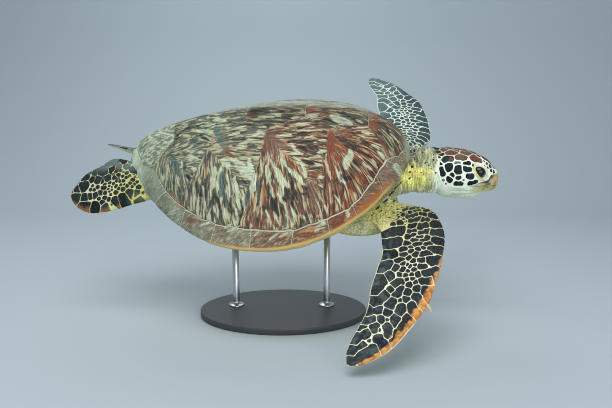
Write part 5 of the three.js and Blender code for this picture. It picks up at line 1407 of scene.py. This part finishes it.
# ------------------------------------------------------------------ eyes, claws, stand
def ball(name, centre, r, along=64, around=96):
    V, T = loft(along, around, lambda x, c, s, rr: np.asarray(centre) + r * np.stack([rr * c, rr * s, x], -1))
    return make_object(name, V, T)


def build_eye(name, sign):
    n, e1, e2 = eye_axes(sign)
    c = np.array([EYE["d"], sign * EYE["y"], EYE["z"]])
    nh = n

    def f(x, cc, s, r):
        # x axis of the ball looks out along n, with a slightly domed cornea
        R = EYE["r"] * (1 + 0.035 * smooth(0.72, 0.95, x))
        p = c + np.multiply.outer(x * R, nh) + np.multiply.outer(r * cc * R, e1) + np.multiply.outer(r * s * R, e2)
        return head_at(p[:, 0], p[:, 1], p[:, 2])
    V, T = loft(96, 128, f)
    ob = make_object(name, V, T)
    d, y, z = head_coords(V)
    q = np.stack([d, y, z], -1) - c
    attr_f(ob.data, "look", np.arccos(clamp((q @ n) / np.linalg.norm(q, axis=1), -1, 1)))
    return ob


CLAW_AT = [("claw_front_right", FR, 294, 86, (0.9, 0.55)), ("claw_front_left", FL, 294, 86, (0.9, 0.55)),
           ("claw_hind_right", HR, 196, 76, (0.75, 0.7)), ("claw_hind_left", HL, 196, 76, (0.75, 0.7))]


def build_claw(name, limb, A, B, way):
    T = unit(way[0] * limb.t + way[1] * limb.c)
    side = unit(np.cross(limb.n, T))
    o = limb.at(np.array(A, float), np.array(B, float), np.array(0.0))

    def f(x, c, s, r):
        t = (1 - x) / 2
        k = 5.4 * np.sqrt(np.maximum(0, 1 - t)) * np.minimum(1, np.sqrt(t / 0.06))
        p = o + np.multiply.outer(-12 + 24 * t, T) + np.multiply.outer(k * c * np.where(r > 0, 1, 0) - 2.6 * t ** 2, side) \
            + np.multiply.outer(k * 0.62 * s * np.where(r > 0, 1, 0) - 1.6 * t ** 2, limb.n)
        return posed(p)
    V, Tt = loft(40, 32, f)
    return make_object("horn_" + name, V, Tt)


def lathe(name, profile, centre, around=96, sx=1.0, sy=1.0):
    P = np.array(profile, float)
    ph = np.linspace(0, 2 * math.pi, around, endpoint=False)
    V = np.stack([np.outer(P[:, 0], np.cos(ph)) * sx + centre[0], np.outer(P[:, 0], np.sin(ph)) * sy + centre[1],
                  np.repeat(P[:, 1:], around, 1) + centre[2]], -1).reshape(-1, 3)
    n = len(P)
    i, j = np.meshgrid(np.arange(n - 1), np.arange(around), indexing="ij")
    a, b = (i * around + j).ravel(), (i * around + (j + 1) % around).ravel()
    ob = make_object(name, V, np.stack([a, b, b + around, a + around], -1))
    return ob


def build_base():
    sx, sy, th, r = 275.0, 200.0, 20.0, 3.0
    prof = [(0.0, 0.0), (1 - 0.8 / sy, 0.0), (1.0, 0.8)]
    ob_prof = [(0.0001, 0.0), (1 - 0.008, 0.0), (1.0, 1.2)]
    for i in range(9):
        a = i / 8 * math.pi / 2
        ob_prof.append((1 - (r / sy) * (1 - math.cos(a)), th - r + r * math.sin(a)))
    ob_prof.append((0.0001, th))
    return lathe("base_plate", ob_prof, (0, 0, 0), 160, sx, sy)


def build_rod(name, x, y, node):
    top = max(p[2] for p in (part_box(node)[0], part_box(node)[1])) * 1000
    prof = [(0.01, 20.0), (26.0, 20.0), (26.0, 22.6), (25.2, 23.6), (24.0, 24.0)]
    for i in range(9):
        a = i / 8
        prof.append((11 + 12 * (1 - a) ** 2.2, 24.0 + 10.0 * a))
    prof += [(11.0, 36.0), (11.0, top + 4), (0.01, top + 4)]
    return lathe(name, prof, (x, y, 0), 64)


# ------------------------------------------------------------------ finishes
class Finish:
    def __init__(self, name, rough=0.5, colour=None):
        self.m = bpy.data.materials.new(name)
        self.m.use_nodes = True
        self.nt = self.m.node_tree
        self.b = self.nt.nodes["Principled BSDF"]
        self.b.inputs["Roughness"].default_value = rough
        if colour is not None:
            self.b.inputs["Base Color"].default_value = (*colour, 1)

    def new(self, kind):
        return self.nt.nodes.new(kind)

    def put(self, sock, v):
        if isinstance(v, bpy.types.NodeSocket):
            self.nt.links.new(v, sock)
        elif isinstance(v, (int, float)):
            sock.default_value = v
        else:
            v = tuple(float(a) for a in v)
            sock.default_value = v if len(v) == len(sock.default_value) else (*v, 1.0)

    def attr(self, name, out="Fac"):
        n = self.new("ShaderNodeAttribute")
        n.attribute_name = name
        return n.outputs[out]

    def obj(self):
        return self.new("ShaderNodeTexCoord").outputs["Object"]

    def noise(self, vec, scale, detail=2.0, rough=0.5, dist=0.0):
        n = self.new("ShaderNodeTexNoise")
        self.put(n.inputs["Vector"], vec)
        for k, v in (("Scale", scale), ("Detail", detail), ("Roughness", rough), ("Distortion", dist)):
            n.inputs[k].default_value = v
        return n.outputs["Fac"]

    def cell(self, vec, scale, feature="F1", smooth_=None):
        n = self.new("ShaderNodeTexVoronoi")
        n.feature = feature
        self.put(n.inputs["Vector"], vec)
        n.inputs["Scale"].default_value = scale
        return n.outputs["Distance"]

    def step(self, x, a, b, lo=0.0, hi=1.0, kind="SMOOTHSTEP"):
        n = self.new("ShaderNodeMapRange")
        n.interpolation_type = kind
        self.put(n.inputs["Value"], x)
        for k, v in (("From Min", a), ("From Max", b), ("To Min", lo), ("To Max", hi)):
            self.put(n.inputs[k], v)
        return n.outputs["Result"]

    def mix(self, a, b, t, blend="MIX"):
        n = self.new("ShaderNodeMix")
        n.data_type, n.blend_type = "RGBA", blend
        self.put(n.inputs[0], t)
        self.put(n.inputs[6], a)
        self.put(n.inputs[7], b)
        return n.outputs[2]

    def op(self, kind, a, b=0.0):
        n = self.new("ShaderNodeMath")
        n.operation = kind
        self.put(n.inputs[0], a)
        self.put(n.inputs[1], b)
        return n.outputs[0]

    def add(self, a, b):
        return self.op("ADD", a, b)

    def mul(self, a, b):
        return self.op("MULTIPLY", a, b)

    def split(self, vec):
        n = self.new("ShaderNodeSeparateXYZ")
        self.put(n.inputs[0], vec)
        return n.outputs

    def vmul(self, vec, s, off=(0, 0, 0)):
        n = self.new("ShaderNodeVectorMath")
        n.operation = "MULTIPLY_ADD"
        self.put(n.inputs[0], vec)
        self.put(n.inputs[1], s)
        self.put(n.inputs[2], off)
        return n.outputs[0]

    def bump(self, h, dist, strength=1.0, prev=None):
        n = self.new("ShaderNodeBump")
        n.inputs["Distance"].default_value = dist
        n.inputs["Strength"].default_value = strength
        self.put(n.inputs["Height"], h)
        if prev is not None:
            self.put(n.inputs["Normal"], prev)
        return n.outputs["Normal"]

    def done(self, col=None, normal=None):
        if col is not None:
            self.put(self.b.inputs["Base Color"], col)
        if normal is not None:
            self.put(self.b.inputs["Normal"], normal)
        return self.m


def skin_finish():
    f = Finish("turtle_skin", 0.58)
    f.b.inputs["Specular IOR Level"].default_value = 0.10
    p = f.obj()
    edge = f.add(f.attr("edge"), f.mul(f.add(f.noise(p, 420, 2), -0.5), 1.1))
    mask = f.step(edge, -0.45, 0.45)
    g = f.attr("base", "Color")
    fine = f.noise(p, 900, 2, 0.6)
    wide = f.noise(p, 110, 3, 0.6)
    g = f.mix(g, f.mix(g, (0.62, 0.55, 0.36), 1.0, "MULTIPLY"), f.mul(f.step(fine, 0.5, 0.72), f.mul(f.attr("grain"), 0.75)))
    g = f.mix(g, f.mix(g, (0.70, 0.66, 0.50), 1.0, "MULTIPLY"), f.step(wide, 0.5, 0.7, 0.0, 0.5))
    # the hollows between the granules, where the pebble bump sinks, are painted darker: painted shade
    gap = f.step(f.cell(p, 165), 0.36, 0.62)
    g = f.mix(g, f.mix(g, (0.42, 0.39, 0.28), 1.0, "MULTIPLY"), f.mul(gap, f.mul(f.attr("grain"), f.add(0.72, f.mul(f.attr("crease"), -0.35)))))
    # neck wrinkles: valleys painted darker and crests painted lighter, following the wrinkle bump: painted shade and
    # painted highlight
    wr = f.add(f.noise(f.vmul(p, (230, 30, 34)), 1.0, 2.0, 0.55, 0.4), 0.0)
    cr = f.attr("crease")
    g = f.mix(g, f.mix(g, (0.52, 0.50, 0.36), 1.0, "MULTIPLY"), f.mul(f.step(wr, 0.49, 0.39), f.mul(cr, 0.8)))
    g = f.mix(g, f.mix(g, (1.25, 1.24, 1.28), 1.0, "MULTIPLY"), f.mul(f.step(wr, 0.50, 0.60), cr))
    s = f.attr("scale", "Color")
    mott = f.noise(p, 260, 4, 0.65)
    s = f.mix(s, f.mix(s, (0.050, 0.062, 0.062), 1.0, "ADD"), f.step(mott, 0.49, 0.70, 0.0, 0.9))
    # scales turn a little paler towards their rims
    s = f.mix(s, f.mix(s, (1.9, 1.8, 1.6), 1.0, "MULTIPLY"), f.step(edge, 2.0, 0.2, 0.0, 0.25))
    col = f.mix(g, s, mask)
    h = f.mul(f.step(edge, -0.9, 1.6), 1.0)
    pebble = f.mul(f.cell(p, 165), f.attr("grain"))
    n1 = f.bump(h, 0.0009, 0.75)
    n2 = f.bump(f.mul(pebble, -1.0), 0.0022, 0.8, n1)
    n2 = f.bump(f.mul(wr, cr), 0.0030, 0.8, n2)
    n3 = f.bump(f.noise(p, 650, 3, 0.6), 0.0006, 0.5, n2)
    return f.done(col, n3)


def shell_finish():
    f = Finish("turtle_shell", 0.55)
    f.b.inputs["Specular IOR Level"].default_value = 0.1
    st, st2, flat = f.attr("st", "Vector"), f.attr("st2", "Vector"), f.attr("flat", "Vector")
    # the third channel of prm is dust, and on the far slope past the spine also painted sheen
    prm = f.new("ShaderNodeSeparateColor")
    f.put(prm.inputs[0], f.attr("prm", "Color"))
    red, cream, dust_and_sheen = prm.outputs[0], prm.outputs[1], prm.outputs[2]
    n3 = f.noise(f.vmul(flat, (1, 1, 1), (5, 2, 9)), 2.6, 3.0, 0.6)
    n4 = f.noise(flat, 26.0, 4.0, 0.7)
    sec = f.step(f.add(f.attr("sector"), f.mul(f.add(n4, -0.5), 0.8)), 0.35, 0.65)

    def streaks(scale, off, detail, rough, dist):
        a = f.noise(f.vmul(st, scale, off), 1.0, detail, rough, dist)
        b = f.noise(f.vmul(st2, scale, off), 1.0, detail, rough, dist)
        return f.add(f.mul(a, f.add(1.0, f.mul(sec, -1.0))), f.mul(b, sec))

    n1 = streaks((1.3, 1.12, 1), (0, 0, 0), 2.0, 0.55, 0.3)
    n2 = streaks((0.8, 0.8, 1.0), (31, 17, 3), 3.0, 0.6, 0.3)
    n5 = streaks((2.7, 1.5, 1.0), (11, 7, 5), 3.0, 0.6, 0.0)
    v = f.add(n1, f.mul(f.add(cream, -0.5), 0.34))
    v = f.add(v, f.mul(f.add(n3, -0.5), 0.20))
    v = f.add(v, f.mul(f.add(n5, -0.5), 0.42))
    dark = f.mix(lin(50, 72, 72), lin(40, 34, 36), red)
    brown = f.mix(lin(104, 108, 90), lin(112, 68, 50), red)
    tan = f.mix(lin(154, 156, 126), lin(178, 136, 94), red)
    crm = f.mix(lin(166, 176, 150), lin(190, 194, 162), n3)
    col = f.mix(dark, brown, f.step(v, 0.39, 0.49))
    col = f.mix(col, tan, f.step(v, 0.505, 0.57))
    col = f.mix(col, crm, f.step(v, 0.56, 0.65))
    rr = f.mul(f.step(f.add(n2, f.mul(f.add(n3, -0.5), 0.3)), 0.53, 0.60), f.mul(red, 0.62))
    col = f.mix(col, f.mix(lin(134, 72, 48), lin(94, 52, 40), n5), rr)
    aur = f.step(f.add(f.attr("aur"), f.mul(f.add(n1, -0.5), 0.9)), 0.35, 0.75)
    col = f.mix(col, f.mix(lin(66, 40, 34), lin(128, 70, 46), n4), f.mul(aur, f.mul(red, 0.66)))
    col = f.mix(col, f.mix(lin(126, 134, 116), lin(138, 102, 80), red), f.attr("calm"))
    # long marks, broken up by the fine streaks
    rag = f.add(f.mul(f.add(n5, -0.5), 2.2), f.mul(f.add(n4, -0.5), 0.9))
    cov = f.step(f.add(f.attr("cover"), rag), 0.36, 0.62)
    ink = f.attr("ink", "Color")
    ink = f.mix(ink, f.mix(ink, (1.5, 1.42, 1.34), 1.0, "MULTIPLY"), f.step(n5, 0.50, 0.62))
    ink = f.mix(ink, f.mix(ink, (0.62, 0.60, 0.60), 1.0, "MULTIPLY"), f.step(n5, 0.47, 0.36))
    col = f.mix(col, ink, f.mul(cov, 0.74))
    # dust and thin weed dull the spine and the rear; past the spine this pale coat is also painted sheen of light
    # grazing the far slope
    dcol = f.mix(lin(138, 152, 136), lin(186, 200, 178), n4)
    dcol = f.mix(dcol, lin(116, 110, 94), f.step(n3, 0.58, 0.75, 0.0, 0.35))
    dk = f.step(f.add(f.mul(dust_and_sheen, 0.95), f.add(f.mul(f.add(n3, -0.5), 0.7), f.mul(f.add(n5, -0.5), 0.7))), 0.05, 1.0)
    col = f.mix(col, dcol, f.mul(dk, 0.9))
    mo = f.noise(flat, 8.0, 4.0, 0.65)
    worn = f.add(f.attr("calm"), f.mul(dust_and_sheen, 0.25))
    col = f.mix(col, f.mix(col, (0.62, 0.66, 0.64), 1.0, "MULTIPLY"), f.mul(f.step(mo, 0.52, 0.64), worn))
    col = f.mix(col, f.mix(col, (1.45, 1.42, 1.40), 1.0, "MULTIPLY"), f.mul(f.step(mo, 0.48, 0.36), worn))
    tn = f.attr("tone")
    tv = f.new("ShaderNodeCombineXYZ")
    for k in range(3):
        f.put(tv.inputs[k], tn)
    col = f.mix(col, tv.outputs[0], 1.0, "MULTIPLY")
    # outer rim of the front side plates
    on = f.mul(f.attr("orange"), f.step(n1, 0.3, 0.6, 0.7, 1.0))
    col = f.mix(col, f.mix(lin(200, 136, 82), lin(176, 104, 60), n5), f.step(on, 0.0, 1.0, 0.0, 0.9, "LINEAR"))
    col = f.mix(col, f.mix(lin(226, 200, 124), lin(208, 172, 96), n5), f.attr("gold"))
    und = f.mix(lin(226, 214, 160), lin(204, 190, 134), n3)
    und = f.mix(und, lin(96, 92, 84), f.step(f.noise(flat, 5.0, 3.0, 0.6), 0.60, 0.72, 0.0, 0.75))
    col = f.mix(col, und, f.attr("under"))
    sm = f.add(f.attr("seam"), f.mul(f.add(f.noise(flat, 30, 2.0), -0.5), 0.9))
    w = f.attr("line")
    # a dark band beside each seam, strongest at the costal-marginal seam: painted shadow beside the seam groove
    shade = f.mul(f.step(sm, f.add(w, 2.6), w), f.attr("deep"))
    col = f.mix(col, f.mix(col, (0.30, 0.27, 0.26), 1.0, "MULTIPLY"), shade)
    line = f.mul(f.step(sm, f.add(w, 0.45), f.add(w, -0.45)), f.attr("pale"))
    col = f.mix(col, f.mix(lin(214, 216, 190), lin(176, 178, 152), n4), line)
    n = f.bump(n1, 0.0008, 0.5)
    n = f.bump(n4, 0.0007, 0.5, n)
    return f.done(col, n)


def plastron_finish():
    f = Finish("turtle_plastron", 0.45)
    flat = f.attr("flat", "Vector")
    n3, n4 = f.noise(flat, 1.6, 4.0, 0.6), f.noise(flat, 18.0, 4.0, 0.65)
    col = f.mix(lin(226, 212, 152), lin(206, 186, 118), n3)
    col = f.mix(col, lin(196, 160, 96), f.step(n4, 0.55, 0.75, 0.0, 0.45))
    sm = f.add(f.attr("seam"), f.mul(f.add(n4, -0.5), 1.5))
    col = f.mix(col, lin(150, 124, 82), f.step(sm, 2.0, 0.4, 0.0, 0.7))
    return f.done(col, f.bump(n4, 0.0007, 0.6))


def eye_finish():
    f = Finish("turtle_eye", 0.16)
    f.b.inputs["Specular IOR Level"].default_value = 0.35
    a = f.attr("look")
    p = f.obj()
    iris = f.mix(lin(17, 18, 24), lin(30, 28, 30), f.noise(p, 300, 3))
    col = f.mix(lin(6, 7, 10), iris, f.step(a, 0.44, 0.50))
    col = f.mix(col, lin(12, 13, 18), f.step(a, 0.74, 0.84))
    f.b.inputs["Coat Weight"].default_value = 0.2
    f.b.inputs["Coat Roughness"].default_value = 0.06
    return f.done(col)


def claw_finish():
    f = Finish("turtle_claw", 0.35)
    p = f.obj()
    col = f.mix(lin(214, 202, 160), lin(150, 128, 88), f.noise(p, 160, 3))
    return f.done(col)


# ------------------------------------------------------------------ build
skin = build_skin()
print("skin", len(skin.data.vertices))
open_back(skin)
refine_head(skin)
print("skin refined", len(skin.data.vertices))
rho, fold = sculpt(skin)
Vs = coords(skin.data)
Ns = normals_of(skin.data)
base, scale, edge, grain, crease = skin_pattern(Vs, rho, fold, Ns)
# scales stand a little proud of the skin between them
Ns = normals_of(skin.data)
hd, hy, hz = head_coords(Vs)
lift = 0.85 * smooth(-1.2, 2.4, edge) * (edge > -3)
set_coords(skin.data, Vs + Ns * lift[:, None])
me = skin.data
attr_c(me, "base", base)
attr_c(me, "scale", scale)
attr_f(me, "edge", edge)
attr_f(me, "grain", grain)
attr_f(me, "crease", crease)
me.polygons.foreach_set("use_smooth", np.ones(len(me.polygons), bool))
me.materials.append(skin_finish())
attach(skin, "root")
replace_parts(skin, "head", "lower_jaw", "neck", "trunk", "tail", "flipper_front_right", "flipper_front_left",
            "flipper_hind_right", "flipper_hind_left")

P, Q, quads, groups, low, mid_y, nuchal, flds, NN = build_shell()
n = len(P)
uu = flds["uu"]
front_side = smooth(-0.40, -0.1, uu) * smooth(0.90, 0.80, uu)
wide = lerp(5, 16, smooth(0.52, 0.66, uu)) * lerp(1, 0.7, smooth(0.76, 0.84, uu))
flds["orange"] = front_side * smooth(1.15, 0.12, flds["edge"] / wide) * smooth(0.5, 3, flds["seam"]) * lerp(0.7, 0.95, smooth(0.3, 0.6, uu))
flds["gold"] = front_side * smooth(3.2, 1.2, flds["edge"]) * 0.75
flds["under"] = np.zeros(n)
is_m, is_mm = flds["dm"] <= flds["dn"] + 0.5, flds["dmm"] <= flds["dn"] + 0.2
rear = smooth(-300, -420, flds["x"])
flds["line"] = np.where(is_m, lerp(1.8, 1.1, smooth(150, -330, flds["x"])), np.where(is_mm, 1.15, 0.65)) * lerp(1, 0.8, rear)
flds["pale"] = np.where(is_m, 0.92, np.where(is_mm, 0.85, 0.6)) * lerp(1, 0.75, rear)
# strength of the painted shadow beside the seams
flds["deep"] = np.where(is_m, 0.75, np.where(is_mm, 0.25, 0.35)) * lerp(1, 0.7, rear)
# plates of the spine are duller, the rear tip paler
x_, c_ = flds["x"], flds["code"]
tone = np.select([c_ == 0, c_ == 1, c_ == 2, c_ == 3, c_ == 4], [0.88, 0.74, 0.72, 0.92, 1.18], 1.0)
tone = tone * lerp(1, 1.75, smooth(-372, -432, x_)) * np.where(c_ >= 20, lerp(1, 0.84, smooth(-240, -300, x_) * smooth(-400, -360, x_)), 1)
flds["tone"] = tone * lerp(1, 0.90, smooth(20, 50, flds["Y"]) * (c_ < 20))
flds["calm"] = np.where(c_ >= 20, lerp(0.46, 0.3, smooth(-200, -300, x_)), np.where(c_ < 10, 0.10, 0.08))
both = {k: np.concatenate([a, a]) for k, a in flds.items()}
both["under"] = np.concatenate([np.zeros(n), np.ones(n)])
both["orange"] = np.concatenate([flds["orange"], flds["orange"] * 0])
both["gold"] = np.concatenate([flds["gold"], flds["gold"] * 0])
PQ = np.concatenate([P, Q])
shell_mat = shell_finish()
shell_obs = []
for name, (faces, node) in groups.items():
    if "marginals" in name:
        s = mid_y > 0 if name.endswith("left") else mid_y <= 0
        faces = np.concatenate([faces, (quads[low & s] + n)[:, ::-1]])
        ob = piece_mesh(name.replace("carapace", "plates"), PQ, faces, both, NN)
    else:
        ob = piece_mesh(name.replace("carapace", "plates"), P, faces, flds, NN)
    ob.data.materials.append(shell_mat)
    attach(ob, "root")
    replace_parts(ob, node)
    "scute_rim" if "marginals" in name else "scute"
    shell_obs.append(ob)
    print(name, len(ob.data.polygons))

pl = build_plastron()
pl.data.materials.append(plastron_finish())
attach(pl, "root"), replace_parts(pl, "plastron"), pl
eye_mat = eye_finish()
for name, sg in (("eye_right", -1), ("eye_left", 1)):
    ob = build_eye("ball_" + name, sg)
    ob.data.materials.append(eye_mat)
    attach(ob, "root"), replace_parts(ob, name), ob
claw_mat = claw_finish()
for name, limb, A, B, way in CLAW_AT:
    ob = build_claw(name, limb, A, B, way)
    ob.data.materials.append(claw_mat)
    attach(ob, "root"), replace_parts(ob, name), ob
fb = Finish("stand_base_finish", 0.42, lin(58, 60, 64))
ob = build_base()
ob.data.materials.append(fb.done())
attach(ob, "root"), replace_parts(ob, "stand_base"), ob
fr = Finish("stand_rod_finish", 0.28, lin(196, 198, 202))
fr.b.inputs["Metallic"].default_value = 1.0
rod_mat = fr.done()
for name, x, y in (("stand_rod_front", 145, 27), ("stand_rod_rear", -160, 27)):
    ob = build_rod("bar_" + name, x, y, name)
    ob.data.materials.append(rod_mat)
    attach(ob, "root"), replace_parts(ob, name), ob

# ------------------------------------------------------------------ studio
prof = [(-6.0, 0.0), (1.9, 0.0)] + [(1.9 + 1.4 * math.sin(a), 1.4 - 1.4 * math.cos(a)) for a in np.linspace(0.1, math.pi / 2, 16)] + [(3.3, 7.0)]
xs = np.array([-9.0, 9.0])
pv = np.array([(x * 1000, y * 1000, z * 1000) for (y, z) in prof for x in xs])
k = np.arange(len(prof) - 1) * 2
floor = make_object("studio_floor", pv, np.stack([k, k + 1, k + 3, k + 2], -1))
ff = Finish("studio_finish", 0.9, lin(176, 188, 194))
floor.data.materials.append(ff.done())


def area(name, loc, aim, size, watts, colour=(1, 1, 1)):
    from mathutils import Vector
    l = bpy.data.lights.new(name, "AREA")
    l.shape, l.size, l.size_y, l.energy, l.color = "RECTANGLE", size[0], size[1], watts, colour
    o = bpy.data.objects.new(name, l)
    o.location = loc
    o.rotation_euler = (Vector(aim) - Vector(loc)).to_track_quat("-Z", "Y").to_euler()
    bpy.context.scene.collection.objects.link(o)
    return o


area("key", (-0.3, -1.6, 3.4), (0, 0, 0.5), (3.0, 2.2), 84, (1.0, 0.99, 0.97))
area("fill", (1.2, -3.4, 0.9), (0.1, 0, 0.45), (3.0, 1.8), 56, (0.95, 0.98, 1.0))
area("back", (-0.6, 2.4, 3.0), (0, 0, 0.4), (2.4, 1.6), 36, (0.96, 0.98, 1.0))
world = bpy.data.worlds.new("studio")
bpy.context.scene.world = world
world.use_nodes = True
world.node_tree.nodes["Background"].inputs["Color"].default_value = (0.80, 0.88, 0.95, 1)
world.node_tree.nodes["Background"].inputs["Strength"].default_value = 0.45

cam = bpy.data.cameras.new("camera")
cam.sensor_width, cam.lens, cam.clip_end = 36, 34.145, 100
co = bpy.data.objects.new("camera", cam)
co.location = (0.075, -1.86161, 0.66423)
co.rotation_euler = (81 * RAD, 0, 0)
bpy.context.scene.collection.objects.link(co)
bpy.context.scene.camera = co

sc = bpy.context.scene
sc.view_settings.view_transform = "Standard"
sc.view_settings.look = "None"
sc.cycles.filter_width = 1.0
